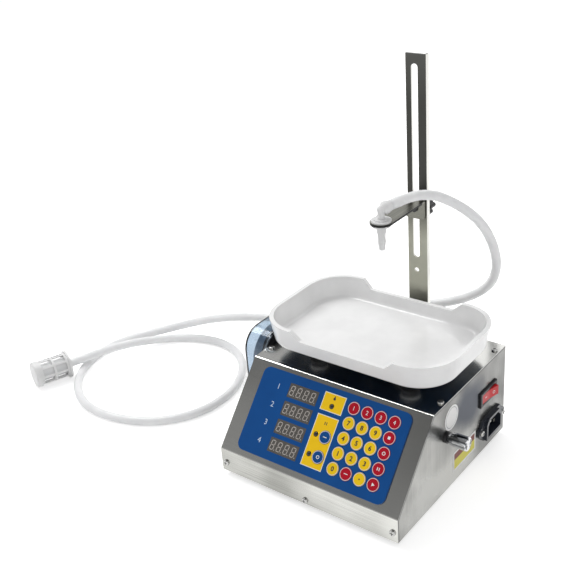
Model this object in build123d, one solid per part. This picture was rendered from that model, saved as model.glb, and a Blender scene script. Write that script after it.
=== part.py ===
from build123d import *
import os
from math import atan2, cos, degrees, hypot, pi, radians, sin, tan

# Peristaltic liquid filler: a bench scale with a keypad, a tube pump on its left side
# and a nozzle arm on a slotted column behind the weighing pan. Lengths are millimetres.
# It is drawn with x = 0 on the middle of the case, y = 0 on the front lip and z = 0 on
# the floor, and is moved at the end so that the origin is the middle of its footprint.

# Folded sheet case
case_width = 185.0
case_depth = 188.0
case_height = 89.0
lip_height = 23.0
top_front = 58.5
sheet = 1.2
bend_radius = 2.4
flange_width = 12.0
rear_vent_length = 34.0
rear_vent_width = 2.4
rear_vent_pitch = 7.0
rear_vent_count = 5

# Rubber feet
foot_height = 5.0
foot_diameter = 16.0
foot_inset = 22.0
foot_screw_length = 5.0

# Panel screws, all the same size
screw_radius = 1.45
screw_length = 6.0
screw_head_radius = 2.8
screw_head_height = 1.8
screw_play = 0.05
top_screw_inset = 4.4
top_screw_front_y = 77.5
top_screw_back_inset = 13.0
lip_screw_inset = 5.0
lip_screw_height = 9.0
lip_middle_screw_height = 3.6

# Keypad film on the sloping panel
film_width = 153.0
film_height = 78.0
film_top = 4.4
film_thickness = 1.4
film_corner = 7.0
film_skin = 0.5
key_diameter = 11.4
key_pitch = 13.3
key_rows = 5
key_columns = 4
first_key_x = 22.6
first_key_down = 15.6
mode_key_x = 5.6
manual_key_down = 46.7
auto_key_down = 64.3
key_proud = 0.35
key_gap = 0.2
key_rim = 0.6
key_travel = 0.4
key_slack = 0.05

# Displays and lamps
display_count = 4
display_x = -29.6
display_top = 12.4
display_pitch = 16.6
window_length = 30.6
window_height = 12.6
window_ledge = 0.8
window_gap = 0.15
module_depth = 7.0
digit_block_gap = 0.3
lamp_radius = 2.3
lamp_play = 0.1
lamp_proud = 0.3
pump_lamp = (1.6, 20.3)
manual_lamp = (-3.9, 46.7)
auto_lamp = (-3.9, 64.3)

# Control board behind the slope
board_length = 144.0
board_height = 72.0
board_thickness = 1.6
board_post_radius = 2.5
board_post_inset = 4.0

# The pan, the column and the arm share one axis, a little right of the case's middle
stand_x = 1.9

# Weighing pan
pan_from_back = 68.5
pan_bottom_length = 180.0
pan_bottom_depth = 114.0
pan_corner = 34.0
pan_underside = 108.0
pan_height = 23.0
pan_wall = 3.6
pan_floor = 2.5
pan_draft = 10.0
pan_edge_round = 4.0
notch_depth = 8.5
notch_half_length = 43.0
notch_run = 9.5
notch_round = 3.0

# Pan support and load cell
pad_radius = 7.0
pad_height = 5.0
pad_spread_x = 96.0
pad_spread_y = 52.0
pad_socket_gap = 0.4
pad_socket_wall = 1.5
pad_socket_depth = 2.5
spider_thickness = 3.0
spider_arm = 16.0
stem_radius = 7.0
stem_play = 4.0
cell_length = 130.0
cell_width = 30.0
cell_height = 22.0
cell_spacer = 4.0
cell_clamp_length = 36.0
cell_bore_radius = 7.5
cell_bore_spread = 28.0
cell_arm_thickness = 5.0
cell_top_spacer = 3.0
cell_travel = 0.3
stop_play = 0.2
stop_radius = 2.0

# Pump head on the left side
pump_y = 105.0
pump_z = 71.0
head_depth_y = 66.0
head_height_z = 68.0
head_corner = 20.0
cover_reach = 25.0
cover_wall = 2.0
cover_wall_gap = 1.0
cover_base_gap = 0.3
base_plate = 5.0
track_wall_height = 15.5
track_radius = 23.0
track_wall = 3.0
port_reach = 1.5
port_gap = 0.5

# Rotor and rollers
roller_radius = 5.5
roller_length = 11.0
roller_count = 3
roller_pin_radius = 2.0
roller_play = 0.05
roller_side_gap = 0.2
rotor_disc = 2.0
rotor_disc_radius = 17.0
rotor_hub_radius = 7.5
rotor_back_gap = 0.3
shaft_radius = 3.0
shaft_play = 0.05
squeeze_thickness = 3.2
squeeze_gap = 0.3

# Gear motor inside
gearbox_radius = 18.5
gearbox_length = 24.0
motor_radius = 16.5
motor_length = 32.0
boss_radius = 6.0

# Tube
tube_outer = 4.5
tube_bore = 3.0

# Column, arm and clamp
column_left = 8.5
column_right = 11.4
column_thickness = 2.0
column_fold = 4.5
column_bend = 1.0
column_bottom = 18.0
column_top = 348.5
slot_width = 6.4
slot_bottom = 161.0
slot_top = 340.0
column_hole_radius = 2.25
column_hole_z = 148.3
column_screw_heights = (32.0, 66.0)
arm_width = 20.0
arm_top = 218.8
arm_thickness = 2.0
arm_gap = 0.1
arm_flange_bottom = 200.5
arm_bend = 3.0
arm_flange_corner = 4.0
nozzle_behind = 10.5
stud_z = 210.0
stud_radius = 2.95
stud_play = 0.05
stud_proud = 1.5
knob_lobe_count = 8
knob_radius = 12.0
knob_thickness = 9.5
knob_hub_radius = 7.0
knob_hub_length = 3.5
knob_gap = 0.3

# Nozzle fitting
flange_radius = 9.0
flange_thickness = 1.5
shank_radius = 4.9
shank_play = 0.05
shank_reach = 1.2
shank_end_gap = 0.1
elbow_boss = 0.8
elbow_boss_radius = 6.2
elbow_radius = 3.1
elbow_ball = 3.6
elbow_rise = 9.3
elbow_turn = 19.0
elbow_tilt = 6.0
collar_length = 10.0
collar_radius = 5.8
collar_end_radius = 4.7
barb_length = 12.0
barb_radius = 2.9
spout_tip_drop = 26.6
spout_tip_radius = 2.5
spout_barb_drop = 17.8
spout_barb_radius = 3.8
spout_radius = 3.5
spout_shoulder_drop = 10.6
spout_neck_radius = 4.7
spout_flange_radius = 8.5
spout_flange = 2.0
spout_bore = 1.8

# Mains switch on the right side
switch_from_back = 34.0
switch_z = 62.0
switch_length = 31.0
switch_height = 14.6
switch_rim = 2.0
switch_body_length = 28.0
switch_body_height = 12.0
switch_body_depth = 20.0
switch_wall = 1.2
switch_cut_play = 0.2
rocker_gap = 0.35
rocker_pivot_depth = 3.0
rocker_thickness = 3.2
rocker_rise = 4.4
rocker_fall = 9.0
rocker_pin_radius = 1.0
rocker_pin_play = 0.05

# Mains inlet
inlet_from_back = 28.4
inlet_z = 28.4
inlet_screw_pitch = 40.0
inlet_ear_radius = 5.0
inlet_flange_height = 22.0
inlet_flange_length = 31.0
inlet_flange_thickness = 2.5
inlet_body_length = 27.0
inlet_body_height = 19.6
inlet_body_depth = 22.0
inlet_rim = 2.5
inlet_cavity_length = 24.2
inlet_cavity_height = 16.4
inlet_cavity_depth = 17.0
inlet_corner = 5.0
inlet_cut_play = 0.2
pin_spread = 14.0
pin_drop = 4.0
pin_width = 4.0
pin_thickness = 2.0
pin_length = 13.0
pin_tail = 6.0

# Speed knob
speed_y = 80.0
speed_z = 60.0
speed_collar_radius = 5.2
speed_collar = 2.0
speed_neck_radius = 3.9
speed_neck = 2.4
speed_knurl_radius = 5.6
speed_knurl = 3.0
speed_barrel_radius = 6.2
speed_barrel = 12.3
speed_shaft_radius = 2.0
speed_shaft_play = 0.05
speed_gap = 0.3
pot_radius = 8.0
pot_depth = 9.0
pot_bush_radius = 3.5
pot_shaft_hole = 8.0

# Power supply
supply_x = (-42.0, 46.0)
supply_depth = 37.0
supply_back_gap = 8.0
supply_height = 26.0
supply_stand = 3.0

# Strainer on the end of the inlet tube
strainer_flange_radius = 15.0
strainer_flange = 2.5
strainer_cap_radius = 14.0
strainer_cap_length = 6.0
strainer_cage_radius = 13.0
strainer_cage_wall = 1.6
strainer_cage_length = 31.0
strainer_window_count = 8
strainer_rib = 2.4
strainer_screen_radius = 9.0
strainer_screen_wall = 0.8
strainer_neck_length = 12.0
strainer_lift = 0.3

# Worked out from the sizes above
half_width = case_width / 2
base_z = foot_height
top_z = foot_height + case_height
lip_z = foot_height + lip_height
slope_run = top_front
slope_rise = top_z - lip_z
slope_angle = degrees(atan2(slope_rise, slope_run))
slope = Plane(
    origin=(0, top_front, top_z),
    x_dir=(1, 0, 0),
    z_dir=(0, -sin(radians(slope_angle)), cos(radians(slope_angle))),
)
inner_z = base_z + sheet
ceiling_z = top_z - sheet
left_x = -half_width
right_x = half_width
inner_right = half_width - sheet
rear_y = case_depth
column_front_y = rear_y
column_back_y = rear_y + column_thickness
pan_y = rear_y - pan_from_back
nozzle_y = pan_y + nozzle_behind
switch_y = rear_y - switch_from_back
inlet_y = rear_y - inlet_from_back
elbow_height = arm_top + flange_thickness + elbow_rise
spout_tip_z = arm_top - spout_tip_drop
spout_barb_z = arm_top - spout_barb_drop
spout_shoulder_z = arm_top - spout_shoulder_drop


def block(x0, x1, y0, y1, z0, z1):
    """A box given by its two corners."""
    middle = Pos((x0 + x1) / 2, (y0 + y1) / 2, (z0 + z1) / 2)
    return middle * Box(x1 - x0, y1 - y0, z1 - z0)


def rod_x(y, z, x0, x1, radius):
    return Pos((x0 + x1) / 2, y, z) * Rot(0, 90, 0) * Cylinder(radius, x1 - x0)


def rod_y(x, z, y0, y1, radius):
    return Pos(x, (y0 + y1) / 2, z) * Rot(90, 0, 0) * Cylinder(radius, y1 - y0)


def rod_z(x, y, z0, z1, radius):
    return Pos(x, y, (z0 + z1) / 2) * Cylinder(radius, z1 - z0)


def cone_z(x, y, z0, z1, low_radius, high_radius):
    return Pos(x, y, (z0 + z1) / 2) * Cone(low_radius, high_radius, z1 - z0)


def on_slope(x, down, height=0.0):
    """A place on the sloping panel: x across, down from its top edge, height off it."""
    return slope.location * Pos(x, -down, height)


def stretch_x(sketch_points, x0, x1):
    """A prism along X whose profile is a list of (y, z) points."""
    outline = Polyline([(0, y, z) for y, z in sketch_points], close=True)
    return Pos(x0, 0, 0) * extrude(make_face(outline), amount=x1 - x0, dir=(1, 0, 0))


def inset_corner(before, corner, after, distance):
    """The corner of a bent line moved inwards by distance, on its right-hand side."""
    a = Vector(*corner) - Vector(*before)
    b = Vector(*after) - Vector(*corner)
    turn = radians(a.get_signed_angle(b, Vector(0, 0, 1)))
    heading = atan2(a.Y, a.X) + turn / 2
    reach = distance / cos(turn / 2)
    return (corner[0] + reach * sin(heading), corner[1] - reach * cos(heading))


# The bent line of the cover, seen from the right, as (y, z)
bend_line = [(0, base_z), (0, lip_z), (top_front, top_z), (rear_y, top_z)]
lip_inside = inset_corner(bend_line[0], bend_line[1], bend_line[2], sheet)
crest_inside = inset_corner(bend_line[1], bend_line[2], bend_line[3], sheet)
lip_flange_inside = inset_corner(bend_line[0], bend_line[1], bend_line[2], 2 * sheet)
crest_flange_inside = inset_corner(bend_line[1], bend_line[2], bend_line[3], 2 * sheet)


def pan_head_screw():
    """A cross-recessed screw with its head on +Z and the head's seat at z = 0."""
    head = Pos(0, 0, screw_head_height / 2) * Cylinder(screw_head_radius, screw_head_height)
    head = fillet(head.edges().sort_by(Axis.Z)[-1], screw_head_height * 0.6)
    shank = Pos(0, 0, -screw_length / 2) * Cylinder(screw_radius, screw_length)
    recess = Pos(0, 0, screw_head_height) * (Box(3.4, 0.75, 1.6) + Box(0.75, 3.4, 1.6))
    return head + shank - recess


def screw_places():
    """Seat and outward direction of every panel screw."""
    lip = [
        (x, 0, base_z + z)
        for x, z in (
            (left_x + lip_screw_inset, lip_screw_height),
            (0, lip_middle_screw_height),
            (right_x - lip_screw_inset, lip_screw_height),
        )
    ]
    side_x = half_width - top_screw_inset
    top_rows = (top_screw_front_y, rear_y - top_screw_back_inset)
    top = [(x, y, top_z) for x in (-side_x, side_x) for y in top_rows]
    rear_x = inner_right - flange_width / 2
    rear = [(x, rear_y, z) for x in (-rear_x, rear_x) for z in (inner_z + 10, ceiling_z - 10)]
    column = [(stand_x, column_back_y, z) for z in column_screw_heights]
    ears = [
        (right_x + inlet_flange_thickness, inlet_y + side * inlet_screw_pitch / 2, inlet_z)
        for side in (-1, 1)
    ]
    return (
        [(place, (0, -1, 0)) for place in lip]
        + [(place, (0, 0, 1)) for place in top]
        + [(place, (0, 1, 0)) for place in rear + column]
        + [(place, (1, 0, 0)) for place in ears]
    )


def screw_holes():
    """One clearance rod along every panel screw."""
    reach = screw_length + screw_head_height
    rod = Cylinder(screw_radius + screw_play, 2 * reach)
    return [Plane(origin=place, z_dir=out).location * rod for place, out in screw_places()]


def panel_screws():
    screw = pan_head_screw()
    return [Plane(origin=place, z_dir=out).location * screw for place, out in screw_places()]


def foot_places():
    return [
        (side * (half_width - foot_inset), y)
        for side in (-1, 1)
        for y in (foot_inset, case_depth - foot_inset)
    ]


def base_tray():
    """Floor and both side walls of the case, folded from one sheet, with inward flanges."""
    profile = [
        (sheet, base_z),
        (rear_y, base_z),
        (rear_y, ceiling_z),
        (crest_inside[0], ceiling_z),
        (lip_inside[0], lip_inside[1]),
    ]
    tray = block(left_x, right_x, sheet, rear_y, base_z, inner_z)
    for side in (-1, 1):
        outer = side * half_width
        wall_x = sorted((outer, outer - side * sheet))
        lap_x = sorted((outer, outer - side * flange_width))
        tray += stretch_x(profile, wall_x[0], wall_x[1])
        lap = [
            (lip_inside[0], lip_inside[1]),
            (crest_inside[0], crest_inside[1]),
            (rear_y - sheet, ceiling_z),
            (rear_y - sheet, ceiling_z - sheet),
            (crest_flange_inside[0], ceiling_z - sheet),
            (lip_flange_inside[0], lip_flange_inside[1]),
        ]
        tray += stretch_x(lap, lap_x[0], lap_x[1])
        tray += block(
            lap_x[0], lap_x[1], rear_y - 2 * sheet, rear_y - sheet, inner_z, ceiling_z
        )
    tray += block(left_x, right_x, sheet, 2 * sheet, base_z, lip_z - 2 * sheet)
    switch_cut = block(
        inner_right - sheet, right_x + sheet,
        switch_y - switch_body_length / 2 - switch_cut_play,
        switch_y + switch_body_length / 2 + switch_cut_play,
        switch_z - switch_body_height / 2 - switch_cut_play,
        switch_z + switch_body_height / 2 + switch_cut_play,
    )
    inlet_cut = block(
        inner_right - sheet, right_x + sheet,
        inlet_y - inlet_body_length / 2 - inlet_cut_play,
        inlet_y + inlet_body_length / 2 + inlet_cut_play,
        inlet_z - inlet_body_height / 2 - inlet_cut_play,
        inlet_z + inlet_body_height / 2 + inlet_cut_play,
    )
    tray -= switch_cut + inlet_cut
    tray -= bent_sheet()
    tray -= rod_x(speed_y, speed_z, inner_right - sheet, right_x + sheet, pot_bush_radius + 0.1)
    tray -= rod_x(pump_y, pump_z, left_x - sheet, left_x + 2 * sheet, boss_radius + 0.2)
    for place in foot_places():
        tray -= rod_z(place[0], place[1], 0, 2 * inner_z, screw_radius + screw_play)
    for hole in screw_holes():
        tray -= hole
    return tray


def bent_sheet():
    """Lip, sloping panel and top as one bent sheet, before its holes."""
    outline = bend_line + [
        (rear_y, ceiling_z),
        (crest_inside[0], ceiling_z),
        (lip_inside[0], lip_inside[1]),
        (sheet, base_z),
    ]
    face = make_face(Polyline([(y, z) for y, z in outline], close=True))
    bends = face.vertices()
    outer = [bends.sort_by_distance(Vector(*point, 0))[0] for point in bend_line[1:3]]
    face = fillet(outer, bend_radius)
    inner = [face.vertices().sort_by_distance(Vector(*point, 0))[0] for point in (lip_inside, crest_inside)]
    face = fillet(inner, bend_radius - sheet)
    side_plane = Plane(origin=(left_x, 0, 0), x_dir=(0, 1, 0), z_dir=(1, 0, 0))
    return extrude(side_plane.location * face, amount=case_width, dir=(1, 0, 0))


def main_cover():
    """Lip, sloping panel and top with its openings."""
    cover = bent_sheet()
    cover -= rod_z(stand_x, pan_y, ceiling_z - sheet, top_z + sheet, stem_radius + stem_play)
    for index in range(display_count):
        down = display_top + window_height / 2 + index * display_pitch
        opening = Box(window_length - 2 * window_ledge, window_height - 2 * window_ledge, 4 * sheet)
        cover -= on_slope(display_x, down) * opening
    for x, down in (pump_lamp, manual_lamp, auto_lamp):
        cover -= on_slope(x, down) * Cylinder(lamp_radius + lamp_play, 4 * sheet)
    for hole in screw_holes():
        cover -= hole
    return cover


def rear_panel():
    """The back plate between the side walls, with vent slots and the column's seat."""
    panel = block(
        -inner_right, inner_right, rear_y - sheet, rear_y, inner_z, ceiling_z
    )
    for side in (-1, 1):
        for row in range(rear_vent_count):
            z = (inner_z + ceiling_z) / 2 + (row - (rear_vent_count - 1) / 2) * rear_vent_pitch
            slot = SlotOverall(rear_vent_length, rear_vent_width)
            wall = Pos(side * half_width / 2, rear_y - 2 * sheet, z) * Rot(90, 0, 0)
            panel -= extrude(wall * slot, amount=3 * sheet, dir=(0, 1, 0))
    for hole in screw_holes():
        panel -= hole
    return panel


def rubber_feet():
    feet = []
    for x, y in foot_places():
        foot = cone_z(x, y, 0, foot_height, foot_diameter / 2 - 0.8, foot_diameter / 2)
        foot += rod_z(x, y, foot_height, foot_height + foot_screw_length, screw_radius)
        feet.append(foot)
    return feet


def key_places():
    """Name, x and distance down the slope of every key."""
    names = [
        ["memory_key_1", "memory_key_2", "memory_key_3", "memory_key_4"],
        ["digit_key_7", "digit_key_8", "digit_key_9", "function_key_1"],
        ["digit_key_4", "digit_key_5", "digit_key_6", "function_key_2"],
        ["digit_key_1", "digit_key_2", "digit_key_3", "function_key_3"],
        ["digit_key_0", "function_key_4", "point_key", "function_key_5"],
    ]
    grid = [
        (names[row][column], first_key_x + column * key_pitch, first_key_down + row * key_pitch)
        for row in range(key_rows)
        for column in range(key_columns)
    ]
    modes = [
        ("manual_key", mode_key_x, manual_key_down),
        ("auto_key", mode_key_x, auto_key_down),
    ]
    return grid + modes


def key_solid(x, down):
    """One embossed key: a disc through the film's skin with a wider rim below the skin."""
    rim_top = film_thickness - film_skin - key_slack
    cap_height = film_thickness + key_proud - rim_top
    cap = Pos(0, 0, rim_top + cap_height / 2) * Cylinder(key_diameter / 2, cap_height)
    cap = fillet(cap.edges().sort_by(Axis.Z)[-1], key_proud * 0.8)
    rim_thickness = rim_top - key_travel - key_slack
    rim = Pos(0, 0, rim_top - rim_thickness / 2) * Cylinder(key_diameter / 2 + key_rim, rim_thickness)
    return on_slope(x, down) * (cap + rim)


def keypad_overlay():
    """The keypad film, glued on the slope, with a stepped pocket for every key."""
    plate = extrude(RectangleRounded(film_width, film_height, film_corner), amount=film_thickness)
    film = on_slope(0, film_top + film_height / 2) * plate
    pocket_height = film_thickness - film_skin
    pocket = Pos(0, 0, pocket_height / 2) * Cylinder(key_diameter / 2 + key_rim + key_gap / 2, pocket_height)
    pocket += Pos(0, 0, film_thickness / 2) * Cylinder(key_diameter / 2 + key_gap, 2 * film_thickness)
    for _, x, down in key_places():
        film -= on_slope(x, down) * pocket
    for index in range(display_count):
        down = display_top + window_height / 2 + index * display_pitch
        opening = Box(window_length + 2 * window_gap, window_height + 2 * window_gap, 4 * film_thickness)
        film -= on_slope(display_x, down) * opening
    for x, down in (pump_lamp, manual_lamp, auto_lamp):
        film -= on_slope(x, down) * Cylinder(lamp_radius + lamp_play, 4 * film_thickness)
    return film


def display_windows():
    """Tinted panes that sit on the ledge of the panel's cut-outs, flush with the film."""
    panes = []
    for index in range(display_count):
        down = display_top + window_height / 2 + index * display_pitch
        pane = Pos(0, 0, film_thickness / 2) * Box(window_length, window_height, film_thickness)
        panes.append(on_slope(display_x, down) * pane)
    return panes


def control_board():
    """Circuit board under the slope, with display modules, lamps and mounting posts."""
    top = -sheet - module_depth
    down = film_top + film_height / 2
    board = on_slope(0, down, top - board_thickness / 2) * Box(board_length, board_height, board_thickness)
    solids = [board]
    for index in range(display_count):
        row = display_top + window_height / 2 + index * display_pitch
        ledge = 2 * (window_ledge + digit_block_gap)
        height = module_depth + sheet
        body = Box(window_length - ledge, window_height - ledge, height)
        solids.append(on_slope(display_x, row, top + height / 2) * body)
    lamp_height = film_thickness + lamp_proud - top
    for x, lamp_down in (pump_lamp, manual_lamp, auto_lamp):
        lamp = Pos(0, 0, top + lamp_height / 2) * Cylinder(lamp_radius, lamp_height)
        lamp = fillet(lamp.edges().sort_by(Axis.Z)[-1], lamp_radius * 0.7)
        solids.append(on_slope(x, lamp_down) * lamp)
    for side in (-1, 1):
        for end in (-1, 1):
            x = side * (board_length / 2 - board_post_inset)
            post_down = down + end * (board_height / 2 - board_post_inset)
            post = Cylinder(board_post_radius, module_depth)
            solids.append(on_slope(x, post_down, top + module_depth / 2) * post)
    return solids


# Heights of the weighing stack, from the floor of the case up
cell_bottom = inner_z + cell_spacer
cell_top = cell_bottom + cell_height
arm_plate_bottom = cell_top + cell_top_spacer
arm_plate_top = arm_plate_bottom + cell_arm_thickness
pad_bottom = pan_underside - pad_height
spider_bottom = pad_bottom - spider_thickness
cell_start = stand_x - cell_length / 2
cell_end = stand_x + cell_length / 2


def pad_places():
    return [
        (stand_x + side * pad_spread_x / 2, pan_y + end * pad_spread_y / 2)
        for side in (-1, 1)
        for end in (-1, 1)
    ]


def load_cell():
    """Aluminium bending beam with the usual double bore through its middle."""
    y0 = pan_y - cell_width / 2
    beam = block(cell_start, cell_end, y0, y0 + cell_width, cell_bottom, cell_top)
    middle = (cell_bottom + cell_top) / 2
    for side in (-1, 1):
        bore_x = stand_x + side * cell_bore_spread / 2
        beam -= rod_y(bore_x, middle, y0 - 1, y0 + cell_width + 1, cell_bore_radius)
    beam -= block(
        stand_x - cell_bore_spread / 2, stand_x + cell_bore_spread / 2,
        y0 - 1, y0 + cell_width + 1, middle - 3, middle + 3,
    )
    return beam


def load_cell_mount():
    """Spacer under the fixed end and the overload stop under the free end."""
    y0 = pan_y - cell_width / 2
    spacer = block(
        cell_start, cell_start + cell_clamp_length, y0, y0 + cell_width, inner_z, cell_bottom
    )
    stop_x = cell_end - cell_clamp_length / 2
    stop = rod_z(stop_x, pan_y, inner_z, cell_bottom - cell_travel - stop_play, stop_radius)
    stop += rod_z(stop_x, pan_y, inner_z, inner_z + cell_spacer / 2, 2 * stop_radius)
    return [spacer, stop]


def pan_support():
    """Cross above the case with its stem, and the bar that ties it to the load cell."""
    spider = Part()
    for x, y in pad_places()[:2]:
        reach = hypot(x - stand_x, y - pan_y)
        angle = degrees(atan2(y - pan_y, x - stand_x))
        bar = SlotCenterToCenter(2 * reach, spider_arm)
        place = Pos(stand_x, pan_y, spider_bottom) * Rot(0, 0, angle)
        spider += place * extrude(bar, amount=spider_thickness)
    spider += rod_z(stand_x, pan_y, arm_plate_top, spider_bottom + spider_thickness, stem_radius)
    y0 = pan_y - cell_width / 2
    bar_start = stand_x - stem_radius - 2
    bar = block(bar_start, cell_end, y0, y0 + cell_width, arm_plate_bottom, arm_plate_top)
    bar += block(
        cell_end - cell_clamp_length, cell_end, y0, y0 + cell_width, cell_top, arm_plate_bottom
    )
    return [spider, bar]


def pan_pads():
    return [rod_z(x, y, pad_bottom, pan_underside, pad_radius) for x, y in pad_places()]


def weighing_pan():
    """Rounded tray with raised sides and corners and lowered front and back rims."""
    grown = tan(radians(pan_draft)) * pan_height
    outline = RectangleRounded(pan_bottom_length, pan_bottom_depth, pan_corner)
    shell = extrude(outline, amount=pan_height, taper=-pan_draft)
    shell = fillet(shell.edges().group_by(Axis.Z)[0], pan_edge_round)
    inner = RectangleRounded(
        pan_bottom_length - 2 * pan_wall, pan_bottom_depth - 2 * pan_wall, pan_corner - pan_wall
    )
    hollow = extrude(inner, amount=pan_height + pan_wall, taper=-pan_draft)
    hollow = fillet(hollow.edges().group_by(Axis.Z)[0], pan_edge_round)
    shell -= Pos(0, 0, pan_floor) * hollow
    notch_z = pan_height - notch_depth
    high = pan_height + notch_depth
    run = notch_run / notch_depth
    half_top = notch_half_length + run * (high - notch_z)
    notch = make_face(Polyline(
        (-half_top, high), (-notch_half_length, notch_z),
        (notch_half_length, notch_z), (half_top, high), close=True,
    ))
    notch = fillet(notch.vertices().group_by(Axis.Y)[0], notch_round)
    reach = pan_bottom_depth + 4 * grown
    upright = Plane(origin=(0, reach / 2, 0), x_dir=(1, 0, 0), z_dir=(0, -1, 0))
    shell -= extrude(upright.location * notch, amount=reach, dir=(0, -1, 0))
    sockets = Part()
    for x, y in pad_places():
        hole = pad_radius + pad_socket_gap
        ring = Cylinder(hole + pad_socket_wall, pad_socket_depth) - Cylinder(hole, pad_socket_depth)
        sockets += Pos(x - stand_x, y - pan_y, -pad_socket_depth / 2) * ring
    return Pos(stand_x, pan_y, pan_underside) * (shell + sockets)


# Distances outwards from the left wall
def pump_x(out):
    return left_x - out


track_top = base_plate + track_wall_height
rotor_inner_disc = base_plate + rotor_back_gap
roller_start = rotor_inner_disc + rotor_disc + roller_side_gap
roller_end = roller_start + roller_length
rotor_outer_disc = roller_end + roller_side_gap
tube_out = (roller_start + roller_end) / 2
tube_x = pump_x(tube_out)
envelope_radius = track_radius - squeeze_thickness - squeeze_gap
roller_pitch_radius = envelope_radius - roller_radius
tube_offset = track_radius - tube_outer
head_back_y = pump_y + head_depth_y / 2
port_y = head_back_y + port_reach
squeeze_width = pi * (tube_outer + tube_bore) / 2 + squeeze_thickness / 2


def head_outline(shrink):
    """The pump head's rounded outline on a plane square to X, smaller by shrink all round."""
    wall = Plane(origin=(0, pump_y, pump_z), x_dir=(0, 1, 0), z_dir=(1, 0, 0))
    shape = RectangleRounded(head_depth_y - 2 * shrink, head_height_z - 2 * shrink, head_corner - shrink)
    return wall.location * shape


def head_prism(shrink, out_from, out_to):
    return Pos(pump_x(out_to), 0, 0) * extrude(head_outline(shrink), amount=out_to - out_from, dir=(1, 0, 0))


def stadium(radius, y_end, out_from, out_to):
    """A disc about the rotor's axis run straight back to y_end."""
    shape = rod_x(pump_y, pump_z, pump_x(out_to), pump_x(out_from), radius)
    return shape + block(
        pump_x(out_to), pump_x(out_from), pump_y, y_end, pump_z - radius, pump_z + radius
    )


def pump_base():
    """Moulded back plate with the horseshoe wall that the tube is pressed against."""
    shrink = cover_wall + cover_base_gap
    base = head_prism(shrink, 0, base_plate)
    wall_end = head_back_y - cover_wall - port_gap
    track = stadium(track_radius + track_wall, wall_end, base_plate, track_top)
    base += track & head_prism(shrink, base_plate, track_top)
    base -= stadium(track_radius, head_back_y + 1, base_plate, track_top + 1)
    base -= rod_x(pump_y, pump_z, pump_x(base_plate + 1), left_x + 1, boss_radius + 0.2)
    return base


def pump_cover():
    """Clear blue cap over the head. Two slots let it pull off along the rotor's axis."""
    cap = head_prism(0, cover_wall_gap, cover_reach)
    outer_face = cap.faces().sort_by(Axis.X)[0]
    cap = fillet(outer_face.edges(), cover_wall)
    cap -= head_prism(cover_wall, cover_wall_gap - 1, cover_reach - cover_wall)
    slot_half = tube_outer + port_gap
    slot_start = head_back_y - 4 * cover_wall
    for side in (-1, 1):
        z = pump_z + side * tube_offset
        cap -= block(tube_x, left_x, slot_start, head_back_y + 1, z - slot_half, z + slot_half)
        cap -= rod_y(tube_x, z, slot_start, head_back_y + 1, slot_half)
    return cap


def roller_places():
    step = 2 * pi / roller_count
    return [
        (pump_y + roller_pitch_radius * cos(i * step + pi), pump_z + roller_pitch_radius * sin(i * step + pi))
        for i in range(roller_count)
    ]


def pump_rotor():
    """Two discs on the drive shaft with a pin for each roller between them."""
    inner_x = pump_x(rotor_inner_disc)
    outer_x = pump_x(rotor_outer_disc)
    rotor = rod_x(pump_y, pump_z, outer_x - rotor_disc, inner_x, rotor_hub_radius)
    for start in (rotor_inner_disc, rotor_outer_disc):
        rotor += rod_x(pump_y, pump_z, pump_x(start + rotor_disc), pump_x(start), rotor_disc_radius)
    for y, z in roller_places():
        rotor += rod_x(y, z, outer_x, inner_x, roller_pin_radius)
    shaft_end = left_x + sheet + gearbox_length / 2
    return rotor + rod_x(pump_y, pump_z, inner_x, shaft_end, shaft_radius)


def roller(y, z):
    bore_radius = roller_pin_radius + roller_play
    body = rod_x(y, z, pump_x(roller_end), pump_x(roller_start), roller_radius)
    return body - rod_x(y, z, pump_x(roller_end + 1), pump_x(roller_start - 1), bore_radius)


def pump_motor():
    """Gearbox and motor on the inside of the left wall, bored for the turning shaft."""
    face = left_x + sheet
    gear_end = face + gearbox_length
    motor = rod_x(pump_y, pump_z, face, gear_end, gearbox_radius)
    motor += rod_x(pump_y, pump_z, gear_end, gear_end + motor_length, motor_radius)
    motor += rod_x(pump_y, pump_z, pump_x(base_plate / 2), face, boss_radius)
    shaft_end = face + gearbox_length / 2 + 1
    motor -= rod_x(pump_y, pump_z, pump_x(base_plate), shaft_end, shaft_radius + shaft_play)
    return motor


def pump_tube():
    """The tube inside the head: flat where the rollers press it, round at both ports."""
    flat_end = pump_y + 14.5
    out_from = tube_out - squeeze_width / 2
    out_to = tube_out + squeeze_width / 2
    band = stadium(track_radius, flat_end, out_from, out_to)
    band -= stadium(track_radius - squeeze_thickness, flat_end + 1, out_from - 1, out_to + 1)
    for side in (-1, 1):
        z = pump_z + side * tube_offset
        band += rod_y(tube_x, z, flat_end - 1, port_y, tube_outer)
        band -= rod_y(tube_x, z, flat_end, port_y + 1, tube_bore)
    return band


def column():
    """Slotted strip screwed to the back of the case, with its right edge folded back."""
    right = stand_x + column_right
    bar = block(
        stand_x - column_left, right, column_front_y, column_back_y, column_bottom, column_top
    )
    bar += block(
        right - column_thickness, right,
        column_front_y, column_front_y + column_fold, column_bottom, column_top,
    )
    corner = Vector(right, column_front_y, (column_bottom + column_top) / 2)
    bar = fillet(bar.edges().filter_by(Axis.Z).sort_by_distance(corner)[0], column_bend)
    wall = Plane(
        origin=(stand_x, column_front_y - 1, (slot_bottom + slot_top) / 2), x_dir=(0, 0, 1), z_dir=(0, 1, 0)
    )
    slot = SlotOverall(slot_top - slot_bottom, slot_width)
    bar -= extrude(wall.location * slot, amount=column_thickness + 2, dir=(0, 1, 0))
    bar -= rod_y(stand_x, column_hole_z, column_front_y - 1, column_back_y + 1, column_hole_radius)
    for hole in screw_holes():
        bar -= hole
    return bar


flange_front_y = column_front_y - arm_gap - arm_thickness
flange_back_y = column_front_y - arm_gap


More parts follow.
